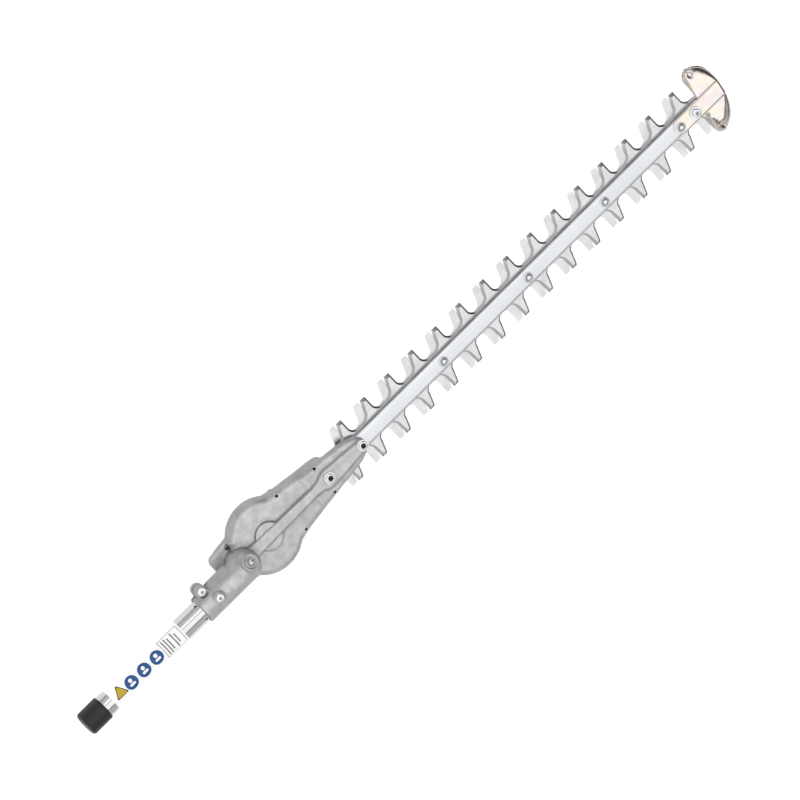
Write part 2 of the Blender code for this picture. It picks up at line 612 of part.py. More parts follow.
def mitre_gear(name, bore, hub_radius, hub_length, start, location, rotation):
    """A straight-toothed mitre gear: local +Z points from its large end to the cone's apex."""
    cone = math.pi / 4
    distance = MITRE_RADIUS / math.sin(cone)
    tip = MITRE_RADIUS * math.tan(cone + math.atan(0.62 * MITRE_MODULE / distance))
    root = MITRE_RADIUS * math.tan(cone - math.atan(1.0 * MITRE_MODULE / distance))
    step = 2 * math.pi / MITRE_TEETH
    outline = []
    for tooth in range(MITRE_TEETH):
        middle = start + step * tooth
        for radius, share in ((root, -0.31), (tip, -0.11), (tip, 0.11), (root, 0.31)):
            angle = middle + share * step
            outline.append((radius * math.cos(angle), radius * math.sin(angle)))
    mesh = bpy.data.meshes.new(name)
    work = bmesh.new()
    small = (MITRE_RADIUS - MITRE_FACE) / MITRE_RADIUS
    large_loop = [work.verts.new((x * MM, y * MM, 0.0)) for x, y in outline]
    small_loop = [work.verts.new((x * small * MM, y * small * MM, MITRE_FACE * MM)) for x, y in outline]
    for k in range(len(outline)):
        after = (k + 1) % len(outline)
        work.faces.new((large_loop[k], large_loop[after], small_loop[after], small_loop[k]))
    work.faces.new(list(reversed(large_loop)))
    work.faces.new(small_loop)
    bmesh.ops.recalc_face_normals(work, faces=work.faces)
    work.to_mesh(mesh)
    work.free()
    gear = place(bpy.data.objects.new(name, mesh), GEAR_STEEL, location, rotation)
    hub = rod_cutter(name + "_hub", hub_radius, -hub_length, 0.8, location, rotation, 24)
    hole = rod_cutter(name + "_bore", bore, -20.0, 20.0, location, rotation, 16)
    combine(gear, [hub], "UNION")
    return combine(gear, [hole], "DIFFERENCE")


def make_drive_group():
    half_gap = math.pi / GEAR_TEETH
    gear = gear_outline(GEAR_TEETH, GEAR_MODULE, math.pi + half_gap, 1)
    plate("crank_gear", [gear, circle(CRANK_RADIUS + GAP, 20)], GEAR_LOW, GEAR_HIGH, GEAR_STEEL)
    pinion = gear_outline(PINION_TEETH, GEAR_MODULE, 0.0, 2)
    plate("spur_pinion", [pinion, circle(SPINDLE_RADIUS + GAP, 16)], GEAR_LOW - 0.3, GEAR_HIGH + 0.6,
          GEAR_STEEL, location=(PINION_X, 0, 0))
    spindle = [(0.0, 22.0), (SPINDLE_RADIUS - 0.5, 22.0), (SPINDLE_RADIUS, 21.5), (SPINDLE_RADIUS, -9.6),
               (0.0, -9.6)]
    turned("pinion_spindle", spindle, GEAR_STEEL, (PINION_X, 0, 0), steps=SMALL_STEPS)
    crank = [(0.0, 12.2), (CRANK_RADIUS, 12.2), (CRANK_RADIUS, -9.4), (0.0, -9.4)]
    turned("crank_spindle", crank, GEAR_STEEL, steps=20)
    for name, side, low in (("upper_cam", 1, BLADE_GAP), ("lower_cam", -1, -BLADE_GAP - BLADE_THICKNESS)):
        centre = (side * THROW * math.cos(REST_ANGLE), side * THROW * math.sin(REST_ANGLE))
        plate(name, [circle(CAM_RADIUS, 32, centre), circle(CRANK_RADIUS + GAP, 20)], low,
              low + BLADE_THICKNESS, GEAR_STEEL)
    mitre_gear("bevel_pinion", SHAFT_RADIUS + GAP, 7.0, 3.4, math.pi,
               (PINION_X - MITRE_RADIUS, 0, TUBE_HEIGHT), along_x())
    half_step = math.pi / MITRE_TEETH
    mitre_gear("bevel_gear", SPINDLE_RADIUS + GAP, 7.4, 3.0, math.pi + half_step,
               (PINION_X, 0, TUBE_HEIGHT - MITRE_RADIUS), None)
    bearing("crank_bearing_upper", CRANK_RADIUS + GAP, 10.5, 7.95, 12.2)
    bearing("crank_bearing_lower", CRANK_RADIUS + GAP, 10.5, -9.4, -4.8)
    bearing("spindle_bearing_upper", SPINDLE_RADIUS + GAP, 11.0, 10.6, 16.2, (PINION_X, 0, 0))
    bearing("spindle_bearing_lower", SPINDLE_RADIUS + GAP, 11.0, -9.6, -4.8, (PINION_X, 0, 0))


# ---------------------------------------------------------------- blades and bar

def flank_arc(start, end, count=2):
    """A quarter ellipse that leaves start upright and meets end level."""
    points = []
    for k in range(1, count + 1):
        angle = math.pi / 2 * k / count
        points.append((end[0] - (end[0] - start[0]) * math.cos(angle),
                       start[1] - (start[1] - end[1]) * math.sin(angle)))
    return points


def tooth(centre, steep_side):
    """One tooth pointing to +Y, from its rear gullet to its front gullet."""
    steep = [(TOOTH_TIP_HALF, TOOTH_REACH), (TOOTH_TIP_HALF + STEEP_FLANK_SPREAD, FLANK_ROOT)]
    steep += flank_arc(steep[-1], (steep[-1][0] + STEEP_GULLET, SPINE_HALF))
    sloped = [(TOOTH_TIP_HALF, TOOTH_REACH), (TOOTH_TIP_HALF + SLOPED_FLANK_SPREAD, FLANK_ROOT)]
    sloped += flank_arc(sloped[-1], (sloped[-1][0] + SLOPED_GULLET, SPINE_HALF))
    front, rear = (steep, sloped) if steep_side > 0 else (sloped, steep)
    points = [(centre - x, y) for x, y in reversed(rear)]
    return points + [(centre + x, y) for x, y in front]


def yoke_ring(yoke_x):
    """The yoke round the cam, open to the front where the spine joins it."""
    half_x = CAM_RADIUS + YOKE_PLAY + YOKE_WALL
    half_y = CAM_RADIUS + THROW + YOKE_END_ROOM + YOKE_WALL
    opening = math.radians(33)

    def bearing_of(point):
        return math.atan2(point[1], point[0] - yoke_x) % (2 * math.pi)

    ring_points = sorted(stadium(half_y, half_x, (yoke_x, 0.0), along_y=True, steps=10), key=bearing_of)
    return [point for point in ring_points if opening < bearing_of(point) < 2 * math.pi - opening]


def blade_outline(offset, yoke_x):
    """The whole blade: yoke ring at the tail, a narrow spine and teeth on both edges."""
    left, right = [], []
    for k in range(LEFT_TEETH):
        left += tooth(LEFT_FIRST + offset + PITCH * k, 1)
    for k in range(RIGHT_TEETH):
        right += [(x, -y) for x, y in tooth(RIGHT_FIRST + offset + PITCH * k, -1)]
    end = BLADE_END + offset
    corner = (end, SPINE_HALF - 4.0)
    shoulder = [(end - 4.0, SPINE_HALF)] if left[-1][0] < end - 4.0 else []
    spine_start = yoke_x + CAM_RADIUS + YOKE_PLAY + YOKE_WALL + 5.0
    right = [(x, y) for x, y in right if x < end - 1.0 or y < -SPINE_HALF - 0.5]
    outline = [(spine_start, SPINE_HALF)] + left + shoulder + [corner, (end, -corner[1])]
    outline += list(reversed(right)) + [(spine_start, -SPINE_HALF)]
    return outline + list(reversed(yoke_ring(yoke_x)))


def slot_outlines(low_travel, high_travel):
    """Slots that let the blade slide past its bolts; travel is how far the blade moves."""
    slots = []
    for x in NOSE_BOLTS + BAR_BOLTS:
        centre = x - (low_travel + high_travel) / 2
        half_length = (high_travel - low_travel) / 2 + SLOT_HALF
        slots.append(stadium(half_length, SLOT_HALF, (centre, 0.0), steps=4))
    return slots


def make_blades():
    rest = THROW * math.cos(REST_ANGLE)
    back, forward = -THROW - rest, THROW - rest
    window = (CAM_RADIUS + THROW + YOKE_END_ROOM, CAM_RADIUS + YOKE_PLAY)
    for name, offset, yoke_x, low, travel in (
            ("upper_blade", 0.0, rest, BLADE_GAP, (back, forward)),
            ("lower_blade", LOWER_OFFSET, -rest, -BLADE_GAP - BLADE_THICKNESS, (-forward, -back))):
        holes = slot_outlines(*travel) + [stadium(*window, (yoke_x, 0.0), along_y=True, steps=10)]
        plate(name, [blade_outline(offset, yoke_x)] + holes, low, low + BLADE_THICKNESS, BLADE_STEEL)


def make_guide_bar():
    half = [(0.0, BAR_HIGH), (BAR_TOP_HALF, BAR_HIGH), (BAR_TOP_HALF + 1.2, BAR_HIGH - 0.7),
            (BAR_HALF, BAR_HIGH - 2.2), (BAR_HALF, BAR_LOW), (0.0, BAR_LOW)]
    section = [(-z, y) for y, z in half] + [(-z, -y) for y, z in reversed(half[1:-1])]
    bar = plate("guide_bar", [section], BAR_START, BAR_END, BAR_METAL, rotation=along_x())
    cuts = []
    for number, x in enumerate(NOSE_BOLTS + BAR_BOLTS + (TIP_BOLT_X,), 1):
        cuts.append(rod_cutter(f"bar_bore_{number}", BOLT_RADIUS + GAP, -5.0, 15.0, (x, 0, 0), steps=12))
    return combine(bar, cuts, "DIFFERENCE")


def make_felt_seal():
    box = [(77.0, -CHANNEL_HALF), (83.0, -CHANNEL_HALF), (83.0, CHANNEL_HALF), (77.0, CHANNEL_HALF)]
    return plate("felt_seal", [box], -6.7, -2.95, FELT)


# ---------------------------------------------------------------- tip guard

def guard_front_x(y):
    """Front edge of the guard's dome: a flattened oval."""
    share = min(1.0, abs(y) / GUARD_HALF_SPAN)
    depth = GUARD_FRONT - GUARD_WING_START
    return GUARD_WING_START + depth * (1.0 - share ** GUARD_POWER) ** (1.0 / GUARD_POWER)


def guard_rear_x(y):
    """Rear edge of a wing, which turns forward in a quarter circle at the wing's end."""
    beyond = max(0.0, abs(y) - (GUARD_HALF_SPAN - GUARD_END_RADIUS))
    turn = GUARD_END_RADIUS - math.sqrt(max(0.0, GUARD_END_RADIUS ** 2 - beyond ** 2))
    return GUARD_WING_START + GUARD_REAR_SLANT * y + turn


def guard_rise(y):
    """The wings fall away from the stem's folds."""
    beyond = max(0.0, abs(y) - GUARD_STEM_HALF)
    return BAR_HIGH + GAP + GUARD_SHEET / 2 - GUARD_WING_SLOPE * beyond


def make_tip_guard():
    columns = 24
    edge = GUARD_STEM_HALF / GUARD_HALF_SPAN
    inner = [edge * k / 2 for k in range(3)]
    outer = [edge + (0.985 - edge) * math.sin(math.pi / 2 * k / (columns // 2 - 3))
             for k in range(1, columns // 2 - 2)]
    half = [share * GUARD_HALF_SPAN for share in inner + outer]
    ys = [-y for y in reversed(half[1:])] + half
    mesh = bpy.data.meshes.new("tip_guard")
    work = bmesh.new()

    def vertex(x, y, z):
        return work.verts.new((x * MM, y * MM, z * MM))

    rows = []
    for y in ys:
        front = guard_front_x(y)
        slope = (guard_front_x(abs(y) + 0.05) - guard_front_x(abs(y) - 0.05)) / 0.1 if abs(y) > 0.1 else 0.0
        slope = max(slope, -12.0)
        out = Vector((1.0, -slope * (1 if y > 0 else -1))).normalized()
        top = guard_rise(y)
        rear = guard_rear_x(y)
        front = max(front + GUARD_FRONT_SLANT * y, rear + 1.5)
        column = [vertex(rear, y, top), vertex((rear + front) / 2, y, top), vertex(front, y, top)]
        for flare, drop in ((0.55, 0.12), (0.9, 0.45), (1.0, 1.0)):
            shift = out * GUARD_SKIRT_FLARE * flare
            column.append(vertex(front + shift.x, y + shift.y, top - GUARD_SKIRT_DROP * drop * skirt(y)))
        rows.append(column)
    for first, second in zip(rows, rows[1:]):
        for k in range(len(first) - 1):
            work.faces.new((first[k], first[k + 1], second[k + 1], second[k]))
    stem = [index for index, y in enumerate(ys) if abs(y) <= GUARD_STEM_HALF + 0.01]
    last = [rows[index][0] for index in stem]
    for length in (0.55, 1.0):
        fresh = []
        for index in stem:
            y = ys[index]
            round_end = (GUARD_STEM_HALF - math.sqrt(max(0.0, GUARD_STEM_HALF ** 2 - y * y))) * 0.8
            x = GUARD_WING_START - (GUARD_WING_START - GUARD_STEM_START) * length
            fresh.append(vertex(x + (round_end if length > 0.9 else 0.0), y, guard_rise(y)))
        for k in range(len(stem) - 1):
            work.faces.new((fresh[k], last[k], last[k + 1], fresh[k + 1]))
        last = fresh
    bmesh.ops.recalc_face_normals(work, faces=work.faces)
    work.to_mesh(mesh)
    work.free()
    guard = place(bpy.data.objects.new("tip_guard", mesh), GUARD_STEEL)
    solidify = guard.modifiers.new("sheet", "SOLIDIFY")
    solidify.thickness = GUARD_SHEET * MM
    solidify.offset = 0.0
    cuts = [rod_cutter(f"guard_bore_{number}", BOLT_RADIUS + GAP, 5.0, 15.0, (x, 0, 0), steps=12)
            for number, x in enumerate((BAR_BOLTS[-1], TIP_BOLT_X), 1)]
    combine(guard, cuts, "DIFFERENCE")
    return smooth(guard)


def skirt(y):
    """The skirt is deepest in front and shallower at the wing ends."""
    return 1.0 - 0.35 * (abs(y) / GUARD_HALF_SPAN) ** 2


make_gearcase_main()
make_gearcase_cover()
make_gasket()
make_fasteners()
make_tube_group()
make_drive_group()
make_blades()
make_guide_bar()
make_felt_seal()
make_tip_guard()
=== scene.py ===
"""Looks of the hedge trimmer attachment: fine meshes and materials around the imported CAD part.

Shapes are worked out in millimetres in the row frame, with heights counted from the cutting
plane between the blades, and are turned into metres when a mesh is made.
"""

import json
import math

import bmesh
import bpy
import numpy as np
from mathutils import Matrix, Vector


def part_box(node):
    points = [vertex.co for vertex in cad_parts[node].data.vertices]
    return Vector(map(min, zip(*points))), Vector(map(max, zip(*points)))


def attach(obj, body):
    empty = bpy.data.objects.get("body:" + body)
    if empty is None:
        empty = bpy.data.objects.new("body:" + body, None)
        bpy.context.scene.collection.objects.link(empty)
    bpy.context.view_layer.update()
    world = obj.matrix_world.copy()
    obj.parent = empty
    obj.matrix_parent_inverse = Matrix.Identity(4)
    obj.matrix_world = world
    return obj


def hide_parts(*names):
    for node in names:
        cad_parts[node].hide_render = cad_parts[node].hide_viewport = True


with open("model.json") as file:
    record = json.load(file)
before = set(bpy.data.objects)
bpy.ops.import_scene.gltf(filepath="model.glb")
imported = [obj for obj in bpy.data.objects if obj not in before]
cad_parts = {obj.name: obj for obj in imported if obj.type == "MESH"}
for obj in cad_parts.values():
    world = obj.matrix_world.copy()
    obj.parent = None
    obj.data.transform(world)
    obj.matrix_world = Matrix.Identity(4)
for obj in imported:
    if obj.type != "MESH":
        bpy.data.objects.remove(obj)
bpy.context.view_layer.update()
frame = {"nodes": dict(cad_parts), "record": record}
MM = 0.001
BODY_OF = {node: body for body, nodes in frame["record"]["behaviour"]["bodies"].items() for node in nodes}
SLOT_OF = {row["node"]: row["material_slot"] for row in frame["record"]["subparts"]}
NOSE_BOLTS = ["nose_bolt_rear", "nose_bolt_front"]
BAR_BOLTS = [f"bar_bolt_{number}" for number in range(1, 5)]
CASE_SCREWS = [f"case_screw_{number}" for number in range(1, 7)]


def corner(node, high):
    """A CAD node's lowest or highest corner, in millimetres."""
    return np.array(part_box(node)[1 if high else 0]) / MM


CUT_PLANE = (corner("upper_blade", False)[2] + corner("lower_blade", True)[2]) / 2
TUBE_AXIS = (corner("drive_tube", False)[2] + corner("drive_tube", True)[2]) / 2 - CUT_PLANE


def span(node, axis):
    """Where a CAD node starts and ends along an axis; heights count from the cutting plane."""
    base = CUT_PLANE if axis == 2 else 0.0
    return corner(node, False)[axis] - base, corner(node, True)[axis] - base


def centre(node):
    """The middle of a CAD node's box, with its height counted from the cutting plane."""
    middle = (corner(node, False) + corner(node, True)) / 2
    return middle - np.array([0, 0, CUT_PLANE])


def show(item):
    """Puts an object in the scene."""
    bpy.context.scene.collection.objects.link(item)
    return item


# ---------------------------------------------------------------- camera, floor and light

VIEW_WIDTH = 0.8285
VIEW_DISTANCE = 12.0
VIEW_BACK = Vector((-0.14, 0.35, 0.93)).normalized()
VIEW_CENTRE = Vector((0.1985, 0.0, CUT_PLANE * MM))
VIEW_ROLL = math.radians(44.7)
SENSOR = 36.0
FLOOR_DROP = 0.16
FLOOR_SIZE = 12.0
FLOOR_COLOUR = (0.9, 0.9, 0.9)
FLOOR_ROUGHNESS = 0.9
FLOOR_GLOW = 0.55
FLOOR_BOUNCE = 0.28
LAMP_PLACE = (0.1, 0.9, 1.7)
LAMP_TARGET = (0.2, 0.0, 0.0)
LAMP_SIZE = (1.8, 0.8)
LAMP_POWER = 3.2


def make_camera():
    """A long lens over the middle of the tool, turned so that the bar runs up to the right."""
    along = (Vector((1, 0, 0)) - VIEW_BACK * VIEW_BACK.x).normalized()
    across = VIEW_BACK.cross(along)
    right = along * math.cos(VIEW_ROLL) - across * math.sin(VIEW_ROLL)
    up = along * math.sin(VIEW_ROLL) + across * math.cos(VIEW_ROLL)
    data = bpy.data.cameras.new("camera")
    data.sensor_width = SENSOR
    data.lens = SENSOR * VIEW_DISTANCE / VIEW_WIDTH
    data.clip_end = 100.0
    camera = show(bpy.data.objects.new("camera", data))
    place = VIEW_CENTRE + VIEW_BACK * VIEW_DISTANCE
    axes = Matrix((right, up, VIEW_BACK)).transposed().to_4x4()
    camera.matrix_world = Matrix.Translation(place) @ axes
    bpy.context.scene.camera = camera


def shade(tree, kind, inputs=None, **settings):
    """Adds a shader node. Each of its inputs is given a socket to follow or a plain value."""
    node = tree.nodes.new("ShaderNode" + kind)
    for name, value in settings.items():
        setattr(node, name, value)
    for name, value in (inputs or {}).items():
        if isinstance(value, bpy.types.NodeSocket):
            tree.links.new(value, node.inputs[name])
        else:
            node.inputs[name].default_value = value
    return node


def ramped(tree, value, stops):
    """A colour ramp over a value. Stops are (place from 0 to 1, grey or colour)."""
    node = shade(tree, "ValToRGB", {0: value})
    elements = node.color_ramp.elements
    while len(elements) > 1:
        elements.remove(elements[-1])
    for number, (place, colour) in enumerate(stops):
        element = elements[0] if number == 0 else elements.new(place)
        element.position = place
        element.color = solid_colour(colour if isinstance(colour, tuple) else (colour,) * 3)
    return node.outputs[0]


def solid_colour(value):
    """A plain colour gains its fourth number; a socket stays as it is."""
    return (*value, 1.0) if isinstance(value, tuple) else value


def mixed(tree, a, b, factor, blend="MIX"):
    """Mixes two colours; each is a socket or a plain colour."""
    inputs = {"A": solid_colour(a), "B": solid_colour(b), "Factor": factor}
    return shade(tree, "Mix", inputs, data_type="RGBA", blend_type=blend).outputs["Result"]


def camera_ray(tree):
    """1 where the camera looks straight at a thing, 0 for the light that it gives to others."""
    return shade(tree, "LightPath").outputs["Is Camera Ray"]


def make_world():
    """A studio of soft light: a long softbox over the bar, paler sides and a dark end beyond the tip."""
    world = bpy.data.worlds.new("studio")
    bpy.context.scene.world = world
    world.use_nodes = True
    tree = world.node_tree
    tree.nodes.clear()
    place = shade(tree, "SeparateXYZ", {0: shade(tree, "TexCoord").outputs["Generated"]}).outputs
    tilt = shade(tree, "Math", {0: place["Y"], 1: place["Z"]}, operation="ARCTAN2").outputs[0]
    turn = shade(tree, "MapRange", {"From Min": -math.pi, "From Max": math.pi, "Value": tilt}).outputs[0]
    along = shade(tree, "MapRange", {"From Min": -1.0, "Value": place["X"]}).outputs[0]
    ends, share = ramped(tree, along, END_LIGHT), ramped(tree, along, END_SHARE)
    studio = mixed(tree, ramped(tree, turn, ACROSS_LIGHT), ends, share)
    colour = mixed(tree, studio, SKY, camera_ray(tree))
    light = shade(tree, "Background", {"Color": colour, "Strength": WORLD_STRENGTH})
    shade(tree, "OutputWorld", {"Surface": light.outputs[0]})


def angle_place(degrees):
    """Where an angle round the X axis, from +Z towards +Y, stands on the world's ramp."""
    return (degrees + 180.0) / 360.0


WORLD_STRENGTH = 0.82
SKY = (1.0, 1.0, 1.0)
ACROSS_LIGHT = [(angle_place(a), v) for a, v in (
    (-180, 0.5), (-95, 0.55), (-60, 0.62), (-40, 0.60), (-36, 0.16), (-31, 0.16), (-27, 1.38), (10, 1.38),
    (16, 0.30), (25, 0.30), (30, 0.75), (60, 0.72), (85, 0.42), (110, 0.5), (180, 0.5))]
END_LIGHT = [(0.0, 0.66), (0.48, 0.66), (0.52, 0.09), (1.0, 0.09)]
END_SHARE = [(0.0, 1.0), (0.14, 1.0), (0.28, 0.0), (0.70, 0.0), (0.84, 1.0), (1.0, 1.0)]


def make_floor():
    mesh = bpy.data.meshes.new("floor")
    work = bmesh.new()
    bmesh.ops.create_grid(work, x_segments=8, y_segments=8, size=FLOOR_SIZE / 2)
    work.to_mesh(mesh)
    work.free()
    floor = show(bpy.data.objects.new("floor", mesh))
    floor.location = (VIEW_CENTRE.x, 0.0, -FLOOR_DROP)
    material = bpy.data.materials.new("pale_floor")
    material.use_nodes = True
    shader = material.node_tree.nodes["Principled BSDF"]
    shader.inputs["Base Color"].default_value = solid_colour(FLOOR_COLOUR)
    shader.inputs["Roughness"].default_value = FLOOR_ROUGHNESS
    shader.inputs["Emission Color"].default_value = solid_colour(SKY)
    tree = material.node_tree
    glow = shade(tree, "MapRange", {"To Min": FLOOR_BOUNCE, "To Max": FLOOR_GLOW, "Value": camera_ray(tree)})
    tree.links.new(glow.outputs[0], shader.inputs["Emission Strength"])
    mesh.materials.append(material)


def make_key_light():
    """One large soft lamp, which gives the castings and screws their gentle shading."""
    data = bpy.data.lights.new("key", "AREA")
    data.shape = "RECTANGLE"
    data.size, data.size_y = LAMP_SIZE
    data.energy = LAMP_POWER
    lamp = show(bpy.data.objects.new("key", data))
    lamp.location = LAMP_PLACE
    aim = Vector(LAMP_TARGET) - Vector(lamp.location)
    lamp.rotation_euler = aim.to_track_quat("-Z", "Y").to_euler()
    lamp.visible_camera = False


make_camera()
make_world()
make_floor()
make_key_light()
bpy.context.scene.view_settings.view_transform = "Standard"

# ---------------------------------------------------------------- materials


class Finish:
    """A Principled material whose detail is built up from noise in each object's own space."""

    def __init__(self, name, colour, roughness, metallic):
        self.material = bpy.data.materials.new(name)
        self.material.use_nodes = True
        self.tree = self.material.node_tree
        self.shader = self.tree.nodes["Principled BSDF"]
        self.shader.inputs["Metallic"].default_value = metallic
        self.shader.inputs["Roughness"].default_value = roughness
        self.shader.inputs["Base Color"].default_value = solid_colour(colour)
        self.space = self.tree.nodes.new("ShaderNodeTexCoord").outputs["Object"]

    def add(self, kind, inputs=None, **settings):
        return shade(self.tree, kind, inputs, **settings)

    def feed(self, socket, value):
        """Links a value to one of the shader's own inputs."""
        self.tree.links.new(value, self.shader.inputs[socket])

    def noise(self, size_mm, detail=3.0, stretch=(1.0, 1.0, 1.0)):
        """Noise whose lumps are about size_mm across, drawn out along an axis by stretch."""
        scale = [1.0 / (size_mm * MM * share) for share in stretch]
        mapping = self.add("Mapping", {"Scale": scale, "Vector": self.space})
        inputs = {"Scale": 1.0, "Detail": detail, "Vector": mapping.outputs[0]}
        return self.add("TexNoise", inputs).outputs["Fac"]

    def openness(self, reach_mm):
        """1 in the open, less where other surfaces stand within reach_mm."""
        return self.add("AmbientOcclusion", {"Distance": reach_mm * MM}).outputs["AO"]

    def upward(self):
        """1 on faces that look up, 0 on walls and below."""
        return self.add("SeparateXYZ", {0: self.add("NewGeometry").outputs["Normal"]}).outputs["Z"]

    def ridges(self):
        """Above a half on outer edges, below a half in inner corners."""
        return self.add("NewGeometry").outputs["Pointiness"]

    def ramp(self, value, stops):
        return ramped(self.tree, value, stops)

    def layered(self, *layers):
        """Paints the product of several ramps or colours."""
        product = layers[0]
        for layer in layers[1:]:
            product = mixed(self.tree, product, layer, 1.0, "MULTIPLY")
        self.feed("Base Color", product)

    def tint(self, value, low, high):
        """The base colour runs from low to high with a noise value."""
        self.feed("Base Color", self.ramp(value, [(0.35, low), (0.65, high)]))

    def dull(self, value, low, high):
        """The roughness runs from low to high with a noise value."""
        inputs = {"From Min": 0.3, "From Max": 0.7, "To Min": low, "To Max": high, "Value": value}
        self.feed("Roughness", self.add("MapRange", inputs).outputs[0])

    def bump(self, value, height_mm, strength=1.0):
        """Adds fine relief on top of the relief that is there already."""
        inputs = {"Strength": strength, "Distance": height_mm * MM, "Height": value}
        before = self.shader.inputs["Normal"].links
        if before:
            inputs["Normal"] = before[0].from_socket
        self.feed("Normal", self.add("Bump", inputs).outputs[0])


def grey(value, warm=0.0):
    """A grey, slightly warm above 0 and slightly cool below."""
    return (value * (1 + warm), value, value * (1 - warm))


def cast_finish():
    """Blasted casting: soft blotches and a fine grain, with painted shade in creases, in corners where parts
    meet and on its walls.
    """
    finish = Finish("cast_aluminium", grey(0.80), 0.48, 0.70)
    blotch = finish.noise(9.0, 8.0)
    grain = finish.noise(0.9, 2.0)
    broad = finish.ramp(blotch, [(0.32, grey(0.78)), (0.52, grey(0.89)), (0.70, grey(1.0))])
    fine = finish.ramp(grain, [(0.3, grey(0.86)), (0.7, grey(1.0))])
    # painted shade: inner corners and creases are darkened in the colour, standing in for the shade that
    # falls there
    painted_crease_shade = finish.ramp(finish.ridges(), [(0.44, grey(0.50)), (0.495, grey(0.96)), (0.56, grey(1.0))])
    # painted shade: the colour darkens where other surfaces stand within 9 mm, standing in for the shade
    # between parts
    corners = finish.ramp(finish.openness(9.0), [(0.30, grey(0.40)), (0.70, grey(0.86)), (0.95, grey(1.0))])
    # painted shade: walls and faces that turn away from above are painted darker than the tops, as the light
    # falls
    painted_wall_shade = finish.ramp(finish.upward(), [(0.25, grey(0.62)), (0.80, grey(0.82)), (0.97, grey(1.0))])
    finish.layered(broad, fine, painted_crease_shade, corners, painted_wall_shade)
    finish.dull(finish.noise(4.0), 0.40, 0.58)
    finish.bump(finish.noise(0.7, 3.0), 0.08, 0.6)
    finish.bump(finish.noise(5.0, 2.0), 0.15, 0.5)
    return finish.material


def grained_finish(name, base, grain, shades, sheen, relief):
    """A finish whose tint, roughness and relief all follow one grain.

    The base is (colour, roughness, metallic), the grain is (size, detail, stretch), the shades and
    the sheen are the lowest and highest colour and roughness, and the relief is (height, strength).
    """
    finish = Finish(name, *base)
    noise = finish.noise(*grain)
    finish.tint(noise, *shades)
    finish.dull(noise, *sheen)
    finish.bump(noise, *relief)
    return finish.material


def bar_finish():
    finish = Finish("bar_aluminium", (0.80, 0.83, 0.87), 0.3, 1.0)
    streak = finish.noise(0.6, 3.0, (120.0, 1.0, 1.0))
    cloud = finish.noise(28.0, 2.0, (2.5, 1.0, 1.0))
    tone = finish.ramp(cloud, [(0.3, (0.86, 0.88, 0.91)), (0.7, (0.93, 0.95, 0.98))])
    fine = finish.ramp(streak, [(0.3, grey(0.96)), (0.7, grey(1.0))])
    finish.layered(tone, fine)
    finish.dull(streak, 0.26, 0.36)
    finish.bump(streak, 0.006, 0.3)
    return finish.material


def blade_finish():
    """Ground steel: fine marks across the blade over a cloudy, slightly oiled surface."""
    finish = Finish("blade_steel", grey(0.94), 0.26, 1.0)
    grind = finish.noise(0.45, 3.0, (1.0, 40.0, 1.0))
    cloud = finish.noise(11.0, 3.0)
    tone = finish.ramp(cloud, [(0.3, grey(0.82)), (0.65, grey(0.94))])
    fine = finish.ramp(grind, [(0.3, grey(0.90)), (0.7, grey(1.0))])
    finish.layered(tone, fine)
    finish.dull(grind, 0.26, 0.38)
    finish.bump(grind, 0.012, 0.5)
    return finish.material


def guard_finish():
    """Yellow zinc plate: bright, with faint pink, straw and green clouds, and painted shade in its creases.
    """
    finish = Finish("plated_guard_steel", (0.88, 0.84, 0.77), 0.08, 1.0)
    cloud = finish.noise(16.0, 2.0)
    other = finish.noise(23.0, 1.0, (1.0, 1.6, 1.0))
    tone = finish.ramp(cloud, [(0.30, (0.90, 0.84, 0.66)), (0.45, (0.91, 0.88, 0.82)),
                               (0.58, (0.88, 0.78, 0.77)), (0.72, (0.84, 0.86, 0.80))])
    veil = finish.ramp(other, [(0.35, (1.0, 0.97, 0.90)), (0.65, (0.96, 0.95, 1.0))])
    # painted shade: the creases at the folds are painted near black, standing in for the shade and dark
    # reflection there
    painted_crease_shade = finish.ramp(finish.ridges(), [(0.40, (0.16, 0.13, 0.10)), (0.485, (1.0, 1.0, 1.0))])
    finish.layered(tone, veil, painted_crease_shade)
    finish.dull(finish.noise(3.0, 4.0), 0.05, 0.12)
    finish.bump(finish.noise(7.0, 1.0), 0.03, 0.5)
    return finish.material


def zinc_finish():
    finish = Finish("zinc_plated_steel", (0.80, 0.83, 0.86), 0.2, 1.0)
    cloud = finish.noise(2.2, 3.0)
    finish.tint(cloud, (0.82, 0.85, 0.88), (0.93, 0.94, 0.95))
    finish.dull(finish.noise(0.8, 3.0), 0.14, 0.28)
    finish.bump(finish.noise(0.6, 2.0), 0.015, 0.5)
    return finish.material


def steel_finish(name, value, roughness, oil=0.1):
    finish = Finish(name, grey(value), roughness, 1.0)
    cloud = finish.noise(3.0, 4.0)
    finish.tint(cloud, grey(value * (1 - oil), 0.03), grey(value * (1 + oil)))
    finish.dull(finish.noise(0.8, 3.0), roughness * 0.8, roughness * 1.25)
    finish.bump(finish.noise(0.5, 2.0), 0.015, 0.5)
    return finish.material


def film_finish(name, colour, glow=0.0):
    """Printed film: an even ink with a trace of mottling; white film and white ink also glow a little."""
    finish = Finish(name, colour, 0.32, 0.0)
    finish.shader.inputs["Emission Color"].default_value = solid_colour(colour)
    finish.shader.inputs["Emission Strength"].default_value = glow
    mottle = finish.noise(2.5, 4.0)
    low, high = (tuple(min(1.0, part * share) for part in colour) for share in (0.97, 1.03))
    finish.tint(mottle, low, high)
    finish.dull(finish.noise(1.2, 2.0), 0.26, 0.36)
    finish.bump(finish.noise(6.0, 2.0), 0.02, 0.4)
    return finish.material


EVEN = (1.0, 1.0, 1.0)
STRANDS = (3.0, 1.0, 1.0)
GASKET_SHADES = ((0.14, 0.12, 0.09), (0.27, 0.24, 0.19))
FELT_SHADES = ((0.20, 0.19, 0.17), (0.38, 0.36, 0.33))
FILM_WHITE = (0.94, 0.94, 0.94)
FILM_GLOW = 0.42

